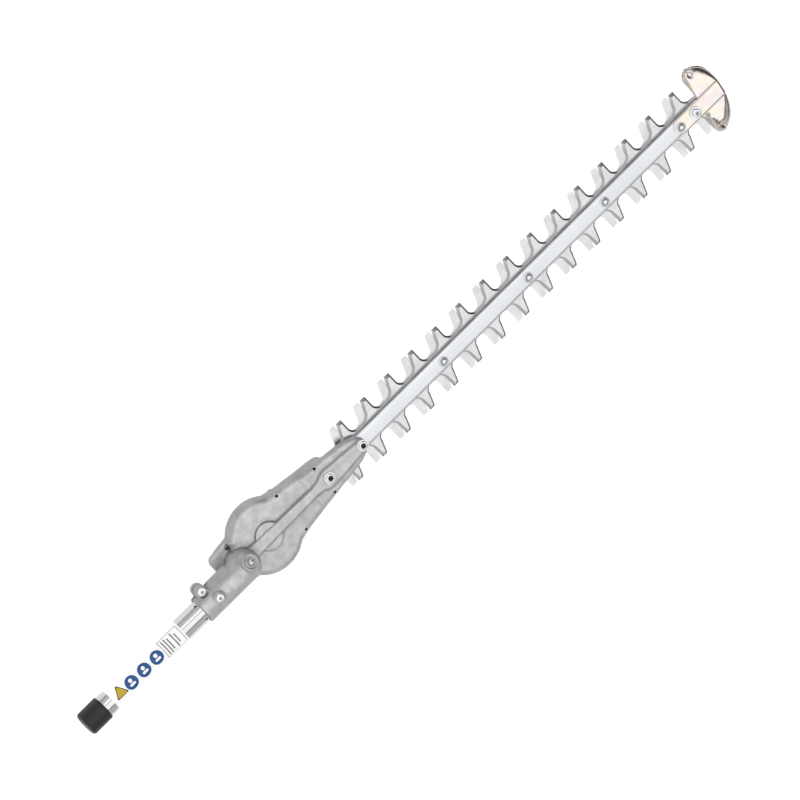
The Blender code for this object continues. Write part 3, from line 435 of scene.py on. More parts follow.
CAST = cast_finish()
TUBE_METAL = grained_finish("drawn_aluminium", (grey(0.80), 0.2, 1.0), (0.5, 3.0, (160.0, 1.0, 1.0)),
                            (grey(0.76, -0.01), grey(0.86, -0.01)), (0.14, 0.22), (0.004, 0.3))
BAR_METAL = bar_finish()
BLADE_STEEL = blade_finish()
BEVEL_STEEL = grained_finish("ground_bevel", (grey(0.50), 0.28, 1.0), (0.35, 2.0, (1.0, 1.0, 14.0)),
                             (grey(0.60), grey(0.78)), (0.22, 0.34), (0.02, 0.5))
GUARD_STEEL = guard_finish()
ZINC = zinc_finish()
# painted shade: the inside of sockets and holes is painted near black for the shade in the recess
SOCKET_SHADE = steel_finish("socket_painted_shade", 0.05, 0.5)
# painted shade: a paler shade for the shallow sockets and the groove round the bar bolts' studs
SOCKET_HALF_SHADE = steel_finish("socket_painted_half_shade", 0.48, 0.4)
# painted shade: the bar's side walls are painted dark, standing in for the shade along the bar's edges
BAR_SIDE_SHADE = steel_finish("bar_side_painted_shade", 0.22, 0.45)
# painted shade: the bevels at the tooth tips and on the flanks facing the bar's end are painted darker as
# shade
BEVEL_SHADE = steel_finish("bevel_painted_shade", 0.30, 0.35)
GEAR_STEEL = steel_finish("gear_steel", 0.35, 0.38)
RACE_STEEL = steel_finish("bearing_steel", 0.62, 0.16, 0.05)
BRONZE = grained_finish("bush_bronze", ((0.60, 0.42, 0.20), 0.45, 1.0), (0.35, 2.0, EVEN),
                        ((0.42, 0.28, 0.13), (0.66, 0.47, 0.24)), (0.38, 0.6), (0.04, 0.5))
VINYL = grained_finish("black_plastic", ((0.02, 0.02, 0.022), 0.42, 0.0), (1.4, 4.0, EVEN),
                       ((0.014, 0.014, 0.015), (0.032, 0.032, 0.034)), (0.34, 0.5), (0.05, 0.5))
FILM = film_finish("label_film", FILM_WHITE, glow=FILM_GLOW)
GASKET = grained_finish("gasket_fibre", (GASKET_SHADES[1], 0.9, 0.0), (0.8, 5.0, STRANDS),
                        GASKET_SHADES, (0.8, 1.0), (0.1, 0.7))
FELT = grained_finish("seal_felt", (FELT_SHADES[1], 0.9, 0.0), (0.5, 5.0, STRANDS),
                      FELT_SHADES, (0.8, 1.0), (0.1, 0.7))

SLOT_MATERIAL = {
    "cast_aluminium": CAST, "drawn_aluminium": TUBE_METAL, "bar_aluminium": BAR_METAL,
    "blade_steel": BLADE_STEEL, "plated_guard_steel": GUARD_STEEL, "zinc_plated_steel": ZINC,
    "gear_steel": GEAR_STEEL, "bearing_steel": RACE_STEEL, "bush_bronze": BRONZE,
    "black_plastic": VINYL, "label_film": FILM, "gasket_fibre": GASKET, "seal_felt": FELT,
}


# ---------------------------------------------------------------- mesh tools


def piece(name, mesh, material, node=None, body=None):
    """Makes a mesh a piece of the object: it stands for a CAD node, or rides on a body as an extra."""
    item = show(bpy.data.objects.new(name, mesh))
    chosen = [face.material_index for face in mesh.polygons]
    mesh.materials.clear()
    for each in material if isinstance(material, list) else [material]:
        mesh.materials.append(each)
    mesh.polygons.foreach_set("material_index", chosen)
    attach(item, body or BODY_OF[node])
    if node:
        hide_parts(node)


def replacement(node, shape, material, sharp=35.0):
    """A closed shape that takes the place of a CAD node."""
    piece(node + "_fine", solid(node + "_fine", *shape, sharp=sharp), material, node)


def solid(name, verts, faces, sharp=35.0):
    """A closed mesh from points in millimetres above the cutting plane, smooth where it is gentle."""
    mesh = bpy.data.meshes.new(name)
    points = np.array(verts, float)
    points[:, 2] += CUT_PLANE
    mesh.from_pydata((points * MM).tolist(), [], faces)
    work = bmesh.new()
    work.from_mesh(mesh)
    bmesh.ops.remove_doubles(work, verts=work.verts, dist=1e-7)
    bmesh.ops.recalc_face_normals(work, faces=work.faces)
    work.to_mesh(mesh)
    work.free()
    mesh.shade_smooth()
    mesh.set_sharp_from_angle(angle=math.radians(sharp))
    return mesh


def loft(rings, closed=False):
    """Faces between rings of the same count. The ends are filled, unless the rings close on themselves."""
    count = len(rings[0])
    verts = [tuple(point) for ring in rings for point in ring]
    faces = []
    pairs = len(rings) if closed else len(rings) - 1
    for r in range(pairs):
        a, b = r * count, (r + 1) % len(rings) * count
        for k in range(count):
            after = (k + 1) % count
            faces.append((a + k, a + after, b + after, b + k))
    if not closed:
        faces.append(tuple(range(count - 1, -1, -1)))
        faces.append(tuple(range((len(rings) - 1) * count, len(rings) * count)))
    return verts, faces


def round_ring(radius, height, steps, sides):
    """A circle at a height, or a polygon of that inner radius sampled with the same count of points."""
    points = []
    for k in range(steps):
        angle = 2 * math.pi * k / steps
        reach = radius
        if sides:
            part = 2 * math.pi / sides
            reach = radius / math.cos(angle % part - part / 2)
        points.append((reach * math.cos(angle), reach * math.sin(angle), height))
    return np.array(points)


UP = (0.0, 0.0, 1.0)
DOWN = (0.0, 0.0, -1.0)
ALONG = (1.0, 0.0, 0.0)


def moved(points, place, towards):
    """Turns points so that their +Z goes towards a direction, and moves them."""
    turn = np.array(Vector(UP).rotation_difference(Vector(towards)).to_matrix())
    return np.array(points, float) @ turn.T + np.array(place, float)


def turned(profile, place=(0, 0, 0), towards=UP, steps=64, closed=False):
    """A turned shape from (radius, height) or (radius, height, sides) tuples."""
    rings = []
    for radius, height, *sides in profile:
        ring = round_ring(max(radius, 0.001), height, steps, sides[0] if sides else 0)
        rings.append(moved(ring, place, towards))
    return loft(rings, closed)


# ---------------------------------------------------------------- castings, as distance fields

CELL = 0.8
CELL_CORNERS = [(i, j, k) for i in (0, 1) for j in (0, 1) for k in (0, 1)]
BULGE_RADIUS = 41.5
BULGE_X = -1.9
COVER_INSET = 1.3
CASE_FRONT = 95.0
EAR_REAR = -64.3
NOSE_FRONT = 141.6
FLANGE = (-3.0, 3.6)
WALL_LEAN = 0.10
ROOF_HIGH = 11.5
ROOF_CURVE = 0.0009
BOSS_HIGH = 15.6
BOSS_RADIUS = 15.3
RIB_HIGH = 17.6
NECK_RADIUS = 16.0
NIPPLE_BOSS_RADIUS = 9.6
FIELD_MARGIN = 2.0
BOLT_HOLE = 3.3
SCREW_HOLE = 2.3
CHANNEL_ROOF = 2.95
CLAMP_HALF = 8.5
ABOVE, BELOW = 25.0, -20.0
NECK_REAR = corner("gearcase_main", False)[0]
PINION_X = sum(span("pinion_spindle", 0)) / 2
TUBE_RADIUS = (corner("drive_tube", True)[1] - corner("drive_tube", False)[1]) / 2

# Bores as (radius, start, end): along the tube's axis, up the pinion spindle and up the crank
SHAFT_BORES = ((TUBE_RADIUS + 0.3, NECK_REAR - 5.0, -68.2), (11.6, -69.5, -53.0), (12.4, -53.4, PINION_X))
SPINDLE_BORES = ((12.45, 16.4, TUBE_AXIS + 2.5), (11.3, 9.6, 16.8), (10.6, -4.0, 9.9))
CRANK_BORES = ((36.5, -4.0, 8.5), (10.8, 7.5, 12.6))


def arc(radius, start, end, count, middle=(0.0, 0.0)):
    angles = np.radians(np.linspace(start, end, count + 1))
    return [(middle[0] + radius * math.cos(a), middle[1] + radius * math.sin(a)) for a in angles]


def mirrored(half):
    return half + [(x, -y) for x, y in reversed(half) if abs(y) > 0.001]


def flange_half():
    """Left half of the parting flange: ears, bulge and the taper to the blades' mouth."""
    ears = [(EAR_REAR, 0.0), (EAR_REAR, 18.0), (EAR_REAR + 1.2, 20.6), (EAR_REAR + 4.5, 23.0),
            (-52.0, 24.4), (-47.0, 25.3), (-38.5, 26.2)]
    bulge = arc(BULGE_RADIUS, 139.5, 50.0, 40, middle=(BULGE_X, 0.0))
    taper = [(28.0, 31.2), (34.0, 29.6), (42.0, 28.0), (63.0, 25.1), (84.0, 22.6), (90.0, 21.7),
             (CASE_FRONT - 2.0, 20.8), (CASE_FRONT, 19.0), (CASE_FRONT, 0.0)]
    return ears + bulge + taper


def nose_half():
    tip = arc(13.5, 62.0, 0.0, 10, middle=(NOSE_FRONT - 13.5, 0.0))
    return [(60.0, 0.0), (60.0, 22.0), (CASE_FRONT, 19.4), (115.0, 17.2), (126.0, 15.4)] + tip


NIPPLE_AIM = centre("grease_nipple") - np.array([PINION_X, 0.0, TUBE_AXIS])
NIPPLE_AIM = NIPPLE_AIM / np.linalg.norm(NIPPLE_AIM)


def rib_half():
    return [(-36.0, 0.0), (-36.0, 8.2), (0.0, 7.4), (66.0, 5.8), (74.0, 7.0), (80.0, 10.0), (84.0, 10.9),
            (90.0, 10.7), (108.0, 9.4), (130.0, 7.2), (136.0, 6.0), (139.0, 4.2), (139.6, 0.0)]


class Field:
    """A distance field on a grid: solids are added and taken away with soft or hard edges."""

    def __init__(self, low, high):
        self.low = np.array(low, float)
        counts = np.ceil((np.array(high) - self.low) / CELL).astype(int) + 1
        axes = [self.low[a] + CELL * np.arange(counts[a]) for a in range(3)]
        self.x, self.y, self.z = (g.astype(np.float32) for g in np.meshgrid(*axes, indexing="ij"))
        self.value = np.full(self.x.shape, 1e3, np.float32)

    def add(self, other, fillet=0.0):
        self.value = self.blend(self.value, other, fillet)

    def cut(self, other, fillet=0.0):
        self.value = -self.blend(-self.value, other, fillet)

    @staticmethod
    def blend(a, b, fillet):
        """The lower of two fields, rounded where they are closer than the fillet."""
        if fillet <= 0:
            return np.minimum(a, b)
        near = np.clip(fillet - np.abs(a - b), 0, None) / fillet
        return np.minimum(a, b) - near * near * fillet / 4

    def outline(self, points):
        """Distance in plan to a closed outline, negative inside."""
        x, y = self.x[:, :, 0], self.y[:, :, 0]
        nearest = np.full(x.shape, 1e6, np.float32)
        inside = np.zeros(x.shape, bool)
        for (ax, ay), (bx, by) in zip(points, points[1:] + points[:1]):
            dx, dy = bx - ax, by - ay
            share = np.clip(((x - ax) * dx + (y - ay) * dy) / max(dx * dx + dy * dy, 1e-9), 0, 1)
            nearest = np.minimum(nearest, (x - ax - share * dx) ** 2 + (y - ay - share * dy) ** 2)
            if abs(dy) > 1e-9:
                crosses = ((ay > y) != (by > y)) & (x < ax + dx * (y - ay) / dy)
                inside ^= crosses
        return (np.sqrt(nearest) * np.where(inside, -1, 1))[:, :, None].astype(np.float32)

    def slab(self, low, high):
        return np.abs(self.z - (low + high) / 2) - (high - low) / 2

    @staticmethod
    def rounded(side, ends, radius):
        """Where two fields meet, an edge of that radius."""
        a, b = side + radius, ends + radius
        outside = np.sqrt(np.maximum(a, 0) ** 2 + np.maximum(b, 0) ** 2)
        return outside + np.minimum(np.maximum(a, b), 0) - radius

    def prism(self, points, low, high, radius, draft):
        """An outline raised from low to high, with rounded edges and sides that lean in."""
        side = self.outline(points) + (self.z - low) * draft
        return self.rounded(side, self.slab(low, high), radius)

    def rod(self, radius, low, high, place=(0, 0, 0), towards=UP, edge=0.0):
        """A cylinder from low to high along a direction from a place."""
        x, y, z = self.x - place[0], self.y - place[1], self.z - place[2]
        up = x * towards[0] + y * towards[1] + z * towards[2]
        side = np.sqrt(np.maximum(x * x + y * y + z * z - up * up, 0.0)) - radius
        return self.rounded(side, np.abs(up - (low + high) / 2) - (high - low) / 2, edge)

    def ball(self, radius, place):
        x, y, z = self.x - place[0], self.y - place[1], self.z - place[2]
        return np.sqrt(x * x + y * y + z * z) - radius

    def box(self, low, high, edge=0.0):
        parts = []
        for values, a, b in zip((self.x, self.y, self.z), low, high):
            parts.append(np.abs(values - (a + b) / 2) - (b - a) / 2)
        return self.rounded(self.rounded(parts[0], parts[1], edge), parts[2], edge)

    def surface_points(self, cells):
        """For each cell, the middle of the places where the surface crosses its edges."""
        total, hits = np.zeros((len(cells), 3)), np.zeros(len(cells))
        for a in CELL_CORNERS:
            for axis in range(3):
                if a[axis]:
                    continue
                b = tuple(1 if n == axis else v for n, v in enumerate(a))
                fa = self.value[tuple((cells + a).T)]
                fb = self.value[tuple((cells + b).T)]
                crossed = (fa < 0) != (fb < 0)
                share = fa[crossed] / (fa[crossed] - fb[crossed])
                total[crossed] += np.array(a) + share[:, None] * (np.array(b) - np.array(a))
                hits[crossed] += 1
        return (cells + total / hits[:, None]) * CELL + self.low

    @staticmethod
    def quads(inside, index, axis):
        """A face across every grid edge along an axis that passes through the surface."""
        before, after = [slice(None)] * 3, [slice(None)] * 3
        before[axis], after[axis] = slice(0, -1), slice(1, None)
        starts, ends = inside[tuple(before)], inside[tuple(after)]
        u, v = [n for n in range(3) if n != axis]
        most_u, most_v = index.shape[u], index.shape[v]
        faces = []
        for crossing, flip in ((starts & ~ends, False), (~starts & ends, True)):
            at = np.argwhere(crossing)
            at = at[(at[:, u] > 0) & (at[:, v] > 0) & (at[:, u] < most_u) & (at[:, v] < most_v)]
            quad = []
            for du, dv in ((1, 1), (0, 1), (0, 0), (1, 0)):
                cell = at.copy()
                cell[:, u] -= du
                cell[:, v] -= dv
                quad.append(index[tuple(cell.T)])
            if flip:
                quad.reverse()
            faces += np.stack(quad, 1).tolist()
        return faces

    def skin(self):
        """The zero surface as quads, one point in each cell that it crosses."""
        inside = self.value < 0
        shape = tuple(n - 1 for n in inside.shape)
        count = np.zeros(shape, np.int8)
        for i, j, k in CELL_CORNERS:
            count += inside[i:i + shape[0], j:j + shape[1], k:k + shape[2]]
        crossed = (count > 0) & (count < len(CELL_CORNERS))
        cells = np.argwhere(crossed)
        index = np.full(shape, -1)
        index[crossed] = np.arange(len(cells))
        faces = []
        for axis in range(3):
            faces += self.quads(inside, index, axis)
        return self.surface_points(cells), faces


def casting_outside(field):
    """The case's own solid: flange, bulge, nose, rib, boss and neck."""
    field.add(field.prism(mirrored(flange_half()), *FLANGE, 1.6, 0.03))
    roof = ROOF_HIGH + 1.2 - ROOF_CURVE * (field.x ** 2 * 0.25 + field.y ** 2)
    body = field.outline(mirrored(flange_half()[6:])) + np.maximum(field.z - 2.0, 0) * WALL_LEAN
    field.add(field.rounded(body, np.maximum(field.z - roof, -1.0 - field.z), 6.5), 1.2)
    nose = field.outline(mirrored(nose_half())) + np.maximum(field.z - 3.0, 0) * WALL_LEAN
    field.add(field.rounded(nose, field.slab(3.0, ROOF_HIGH + 2.0), 4.0), 2.0)
    field.add(field.prism(mirrored(rib_half()), 5.0, RIB_HIGH, 1.6, 0.09), 3.2)
    field.add(field.rod(BOSS_RADIUS, 6.0, BOSS_HIGH, edge=0.7), 0.8)
    field.add(neck_solid(field), 3.0)


def neck_solid(field):
    """Tower, elbow and clamped neck, with the seats of the clamp, the locating screw and the nipple."""
    axis = (PINION_X, 0.0, TUBE_AXIS)
    tower = field.rod(NECK_RADIUS - 0.05, -2.0, TUBE_AXIS, (PINION_X, 0, 0))
    barrel = field.rod(NECK_RADIUS, NECK_REAR - PINION_X, 0.0, axis, ALONG, 1.4)
    neck = np.minimum(np.minimum(tower, field.ball(NECK_RADIUS, axis)), barrel)
    web = field.box((PINION_X - 24.0, -6.5, 0.0), (PINION_X + 2.0, 6.5, TUBE_AXIS - 6.0), 2.0)
    neck = field.blend(neck, web, 5.0)
    x, y, _ = centre("clamp_screw")
    ledge = field.box((x + 8.0, 8.0, TUBE_AXIS - 6.0), (x + 36.0, NECK_RADIUS + 1.4, TUBE_AXIS + 4.0), 2.4)
    neck = field.blend(neck, ledge, 3.0)
    low, high = TUBE_AXIS - CLAMP_HALF, TUBE_AXIS + CLAMP_HALF
    ears = field.rod(6.9, low, high, (x, y, 0), edge=1.2)
    bridge = field.box((x - 6.5, 4.0, low), (x + 6.5, y, high), 1.2)
    neck = field.blend(neck, np.minimum(ears, bridge), 2.2)
    x, y, _ = centre("locating_screw")
    neck = field.blend(neck, field.rod(6.4, 6.0, TUBE_AXIS + 16.8, (x, y, 0), edge=0.9), 1.6)
    boss = field.rod(NIPPLE_BOSS_RADIUS, 6.0, NECK_RADIUS + 1.3, axis, NIPPLE_AIM, 1.0)
    neck = field.blend(neck, boss, 2.0)
    spot = field.rod(NIPPLE_BOSS_RADIUS - 2.6, NECK_RADIUS + 0.7, NECK_RADIUS + 8.0, axis, NIPPLE_AIM, 0.4)
    neck = -field.blend(-neck, spot, 1.2)
    dish = field.rod(8.0, 15.3, 22.0, (PINION_X - 22.0, 1.0, TUBE_AXIS), (0.05, 0.09, 0.995), 0.6)
    return -field.blend(-neck, dish, 1.2)


def casting_inside(field):
    """Bores and rooms, the same as the CAD solid's."""
    axis, spindle = (0, 0, TUBE_AXIS), (PINION_X, 0, 0)
    for bore in SHAFT_BORES:
        field.cut(field.rod(*bore, axis, ALONG))
    for bore in SPINDLE_BORES:
        field.cut(field.rod(*bore, spindle))
    for bore in CRANK_BORES:
        field.cut(field.rod(*bore))
    x, y, _ = centre("clamp_screw")
    field.cut(field.box((NECK_REAR - 2.0, 8.0, TUBE_AXIS - 1.2), (x + 12.0, y + 12.0, TUBE_AXIS + 1.2)))
    field.cut(field.rod(BOLT_HOLE, TUBE_AXIS - 20.0, TUBE_AXIS + 20.0, (x, y, 0)))
    field.cut(field.rod(6.2, TUBE_AXIS + CLAMP_HALF, TUBE_AXIS + 20.0, (x, y, 0)), 0.6)
    x, y, _ = centre("locating_screw")
    field.cut(field.rod(BOLT_HOLE, 5.0, ABOVE, (x, y, TUBE_AXIS)))
    field.cut(field.rod(SCREW_HOLE, 6.0, ABOVE, (PINION_X, 0, TUBE_AXIS), NIPPLE_AIM))
    field.cut(field.box((20.0, -12.0, -4.5), (CASE_FRONT + 5.0, 12.0, CHANNEL_ROOF)))
    field.cut(field.box((CASE_FRONT - 8.5, -15.2, -4.5), (CASE_FRONT + 5.0, 15.2, CHANNEL_ROOF)))
    field.cut(field.box((73.0, -9.1, 1.95), (NOSE_FRONT + 5.0, 9.1, 8.9)))
    for name in NOSE_BOLTS:
        x = centre(name)[0]
        field.cut(field.rod(BOLT_HOLE, 0.0, ABOVE, (x, 0, 0)))
        field.cut(field.rod(6.4, RIB_HIGH + 0.05, ABOVE, (x, 0, 0)))
    for name in CASE_SCREWS:
        x, y, _ = centre(name)
        field.cut(field.rod(SCREW_HOLE, -4.0, 6.2, (x, y, 0)))
        field.cut(field.rod(1.4, 0.0, 20.0, (x, y, 0)), 0.4)


def field_round(node):
    """An empty field a little larger than a CAD node's box."""
    low = corner(node, False) - np.array([FIELD_MARGIN, FIELD_MARGIN, FIELD_MARGIN + CUT_PLANE])
    high = corner(node, True) + np.array([FIELD_MARGIN, FIELD_MARGIN, FIELD_MARGIN - CUT_PLANE])
    return Field(low, high)


def cast_piece(name, field, node):
    piece(name, solid(name, *field.skin(), 50.0), CAST, node)


def make_casting():
    field = field_round("gearcase_main")
    casting_outside(field)
    casting_inside(field)
    cast_piece("gearcase_casting", field, "gearcase_main")


def make_cover():
    """The underside cover: a flanged pan with wells for the screws and a flat face to rest on."""
    field = field_round("gearcase_cover")
    side = field.outline(mirrored(flange_half())) + COVER_INSET
    field.add(field.rounded(side, field.slab(-8.0, -4.1), 0.9))
    pan = side + 2.6 + np.maximum(-6.5 - field.z, 0) * 0.12
    field.add(field.rounded(pan, field.slab(-CUT_PLANE, -6.5), 2.2), 1.4)
    field.cut(np.maximum(field.rod(35.0, -9.6, -3.0), -field.rod(13.6, -12.0, -4.4)))
    field.cut(field.rod(10.8, -9.8, 0.0))
    field.cut(field.rod(11.3, -10.0, 0.0, (PINION_X, 0, 0)))
    field.cut(field.box((30.0, -12.0, -9.0), (72.0, 12.0, -3.0)))
    field.cut(field.box((76.7, -12.3, -7.0), (83.3, 12.3, -3.0)))
    rear_bolt = centre("nose_bolt_rear")[0]
    field.cut(field.rod(BOLT_HOLE, BELOW, 0.0, (rear_bolt, 0, 0)))
    field.cut(field.rod(6.9, BELOW, -8.0, (rear_bolt, 0, 0)))
    for name in CASE_SCREWS:
        x, y, _ = centre(name)
        field.cut(field.rod(SCREW_HOLE, BELOW, 0.0, (x, y, 0)))
        field.cut(field.rod(4.4, BELOW, -8.0, (x, y, 0)), 0.8)
    groove = np.abs(field.rod(24.0, BELOW, 0.0)) - 0.8
    field.cut(np.maximum(groove, field.slab(BELOW, -CUT_PLANE + 0.7)))
    cast_piece("cover_casting", field, "gearcase_cover")


# ---------------------------------------------------------------- drilling and inks


def drilled(mesh, names, low, high, height=0.0, sharp=35.0):
    """Cuts a bolt hole at each named bolt, from low to high above a height on the middle plane."""
    item = show(bpy.data.objects.new("uncut", mesh))
    drills = []
    for name in names:
        profile = [(0.0, high), (BOLT_HOLE, high), (BOLT_HOLE, low), (0.0, low)]
        shape = turned(profile, (centre(name)[0], 0.0, height), UP, 32)
        drill = show(bpy.data.objects.new("drill", solid("drill", *shape)))
        cut = item.modifiers.new("cut", "BOOLEAN")
        cut.operation = "DIFFERENCE"
        cut.solver = "EXACT"
        cut.object = drill
        drills.append(drill)
    bpy.context.view_layer.update()
    result = bpy.data.meshes.new_from_object(item.evaluated_get(bpy.context.evaluated_depsgraph_get()))
    for each in drills + [item]:
        bpy.data.objects.remove(each, do_unlink=True)
    result.shade_smooth()
    result.set_sharp_from_angle(angle=math.radians(sharp))
    return result


def second_material(mesh, chosen):
    """Gives the second material to the faces whose middle, in millimetres, is chosen."""
    for face in mesh.polygons:
        if chosen(np.array(face.center) / MM - np.array([0, 0, CUT_PLANE])):
            face.material_index = 1


# ---------------------------------------------------------------- fasteners

THREAD_PITCH = 1.0
COLLAR_HIGH = 2.2
NUT_FLATS = 5.02


def thread(radius, top, bottom):
    """Rings of a thread down a shank, ending in a small chamfer."""
    rings = []
    height = top
    while height > bottom + 1.2:
        rings += [(radius, height), (radius - 0.35, height - THREAD_PITCH / 2)]
        height -= THREAD_PITCH
    return rings + [(radius - 0.1, bottom + 0.6), (radius - 0.7, bottom), (0.0, bottom)]


def socket_screw(node, head_radius, head_height, socket, shank_radius, towards=UP, flange=0.0, depth=1.8,
                 inside=SOCKET_SHADE):
    """A screw with a rounded head, a chamfered hex socket painted with shade inside, and a threaded shank."""
    middle, (low, high) = centre(node), span(node, 2)
    base = high - head_height if towards == UP else low + head_height
    reach = high - low - head_height
    place = (middle[0], middle[1], base)
    floor = head_height - depth
    rings = [(0.0, floor - 0.3), (socket, floor, 6), (socket, head_height - 0.35, 6),
             (socket + 0.55, head_height), (head_radius - 0.9, head_height),
             (head_radius - 0.45, head_height - 0.12), (head_radius - 0.12, head_height - 0.45),
             (head_radius, head_height - 0.9)]
    if flange:
        rings += [(head_radius, 0.75), (head_radius + 0.2, 0.6), (flange - 0.2, 0.55), (flange, 0.35),
                  (flange, 0.0)]
    else:
        rings += [(head_radius, 0.2), (head_radius - 0.2, 0.0)]
    rings += [(shank_radius + 0.3, 0.0), (shank_radius, -0.4)] + thread(shank_radius, -0.9, -reach)
    mesh = solid(node + "_fine", *turned(rings, place, towards, 48), sharp=32.0)
    axis = np.array(place)

    def in_socket(point):
        beyond = point - axis
        up = beyond @ np.array(towards)
        away = np.linalg.norm(beyond - up * np.array(towards))
        return 0 < up < head_height - 0.3 and away < socket * 1.16

    # the faces inside the socket get the painted-shade material
    second_material(mesh, in_socket)
    piece(node + "_fine", mesh, [ZINC, inside], node)


def flanged_bolt(node):
    """A bar bolt: a round flange, a stepped collar and the domed stud end inside it."""
    middle, (low, high) = centre(node), span(node, 2)
    base = high - COLLAR_HIGH
    rings = [(0.0, 3.7), (1.3, 3.7), (2.1, 3.55), (2.55, 3.1), (2.6, 2.2), (2.7, 1.7), (3.1, 1.6),
             (3.3, 1.8), (3.5, 2.1), (3.9, 2.2), (4.3, 2.05), (4.5, 1.6), (4.6, 0.9), (4.75, 0.75),
             (5.3, 0.65), (5.5, 0.45), (5.5, 0.05), (5.4, 0.0), (3.3, 0.0), (3.0, -0.4)]
    rings += thread(3.0, -0.9, low - base)
    mesh = solid(node + "_fine", *turned(rings, (middle[0], middle[1], base), UP, 48), sharp=32.0)

    def groove(point):
        return 2.6 < math.hypot(*(point[:2] - middle[:2])) < 3.45 and 1.0 < point[2] - base < 2.0

    # the faces in the groove round the stud get the painted-shade material
    second_material(mesh, groove)
    piece(node + "_fine", mesh, [ZINC, SOCKET_HALF_SHADE], node)


def hex_nut(node):
    """A nut with chamfered corners and threaded bore."""
    middle, (low, high) = centre(node), span(node, 2)
    bore, flats = BOLT_HOLE, NUT_FLATS
    rings = [(bore + 0.35, low), (flats - 0.15, low), (flats + 0.1, low + 0.35, 6), (flats, low + 0.6, 6),
             (flats, high - 0.6, 6), (flats + 0.1, high - 0.35, 6), (flats - 0.15, high), (bore + 0.35, high)]
    height = high - 0.4
    while height > low + 0.6:
        rings += [(bore, height), (bore + 0.3, height - THREAD_PITCH / 2)]
        height -= THREAD_PITCH
    replacement(node, turned(rings, (middle[0], middle[1], 0.0), UP, 48, closed=True), ZINC, 25.0)


def tip_washer():
    middle, (low, high) = centre("tip_washer"), span("tip_washer", 2)
    rings = [(3.4, low), (6.8, low), (7.0, low + 0.2), (7.0, high - 0.35), (6.65, high), (3.7, high),
             (3.4, high - 0.25)]
    replacement("tip_washer", turned(rings, (middle[0], middle[1], 0.0), UP, 64, closed=True), ZINC, 25.0)


def grease_nipple():
    """Hex base, waist and ball head with its small hole."""
    start = np.array([PINION_X, 0.0, TUBE_AXIS]) + NIPPLE_AIM * (NECK_RADIUS + 1.3)
    rings = [(0.0, 5.9), (0.6, 5.9), (0.75, 6.6), (0.95, 6.85), (1.6, 6.8), (2.15, 6.4), (2.4, 5.7),
             (2.2, 5.1), (1.65, 4.7), (1.6, 4.0), (2.0, 3.5), (2.4, 3.2, 6), (2.9, 2.9, 6), (2.9, 0.35, 6),
             (2.6, 0.05), (1.95, 0.0), (1.95, -3.4), (0.0, -3.4)]
    shape = turned(rings, start, NIPPLE_AIM, 48)
    mesh = solid("grease_nipple_fine", *shape, sharp=30.0)

    def in_hole(point):
        beyond = point - start
        up = beyond @ NIPPLE_AIM
        return up > 5.8 and np.linalg.norm(beyond - up * NIPPLE_AIM) < 0.72

    # the faces inside the nipple's hole get the painted-shade material
    second_material(mesh, in_hole)
    piece("grease_nipple_fine", mesh, [ZINC, SOCKET_SHADE], "grease_nipple")


def make_fasteners():
    for node in CASE_SCREWS:
        socket_screw(node, 3.8, 3.2, 1.75, 1.95, DOWN)
    for node in NOSE_BOLTS:
        socket_screw(node, 4.75, 3.2, 2.55, 3.0, flange=6.3, depth=2.6)
    for number, node in enumerate(BAR_BOLTS, 1):
        flanged_bolt(node)
        hex_nut(f"bar_nut_{number}")
    hex_nut("nose_nut_rear")
    hex_nut("nose_nut_front")
    tip_washer()
    socket_screw("tip_bolt", 4.6, 3.6, 1.6, 3.0, depth=1.6, inside=SOCKET_HALF_SHADE)
    socket_screw("clamp_screw", 4.9, 3.6, 1.3, 3.0, depth=1.4, inside=SOCKET_HALF_SHADE)
    socket_screw("locating_screw", 4.9, 3.2, 1.3, 3.0, depth=1.4, inside=SOCKET_HALF_SHADE)
    grease_nipple()


# ---------------------------------------------------------------- tube, label and cap

TUBE_BORE = 11.0
TUBE_CENTRE = (0.0, 0.0, TUBE_AXIS)
FILM_RADIUS = TUBE_RADIUS + 0.38
OUTLINE_STEP = 0.9
TRIANGLE_X = -226.4
DISC_PLACES = (-211.0, -192.7, -174.4)
PANEL_X = -151.5
PANEL_BARS = ((-161.0, 9.0), (-157.5, 9.0), (-154.0, 7.0), (-148.5, 9.0), (-145.0, 5.5))
VIEW_SIDE = math.degrees(math.atan2(VIEW_BACK.y, VIEW_BACK.z))


def make_tube():
    rear, front = span("drive_tube", 0)
    rings = [(TUBE_RADIUS - 0.4, front), (TUBE_RADIUS, front - 0.4)]
    rings += [(TUBE_RADIUS, front + (rear - front) * k / 12) for k in range(1, 12)]
    rings += [(TUBE_RADIUS, rear + 0.4), (TUBE_RADIUS - 0.4, rear), (TUBE_BORE + 0.4, rear),
              (TUBE_BORE, rear + 0.4), (TUBE_BORE, front - 0.4), (TUBE_BORE + 0.4, front)]
    mesh = solid("drive_tube_fine", *turned(rings, TUBE_CENTRE, ALONG, 96, closed=True))
    mesh = drilled(mesh, ["locating_screw"], 5.0, 20.0, TUBE_AXIS)
    piece("drive_tube_fine", mesh, TUBE_METAL, "drive_tube")


def make_film():
    """The label's white film, with the edges pressed down onto the tube."""
    rear, front = span("tube_label", 0)
    inner, outer = TUBE_RADIUS + 0.12, TUBE_RADIUS + 0.34
    rings = [(inner, rear), (outer - 0.12, rear), (outer, rear + 0.25)]
    rings += [(outer, rear + (front - rear) * k / 8) for k in range(1, 8)]
    rings += [(outer, front - 0.25), (outer - 0.12, front), (inner, front)]
    replacement("tube_label", turned(rings, TUBE_CENTRE, ALONG, 96, closed=True), FILM)


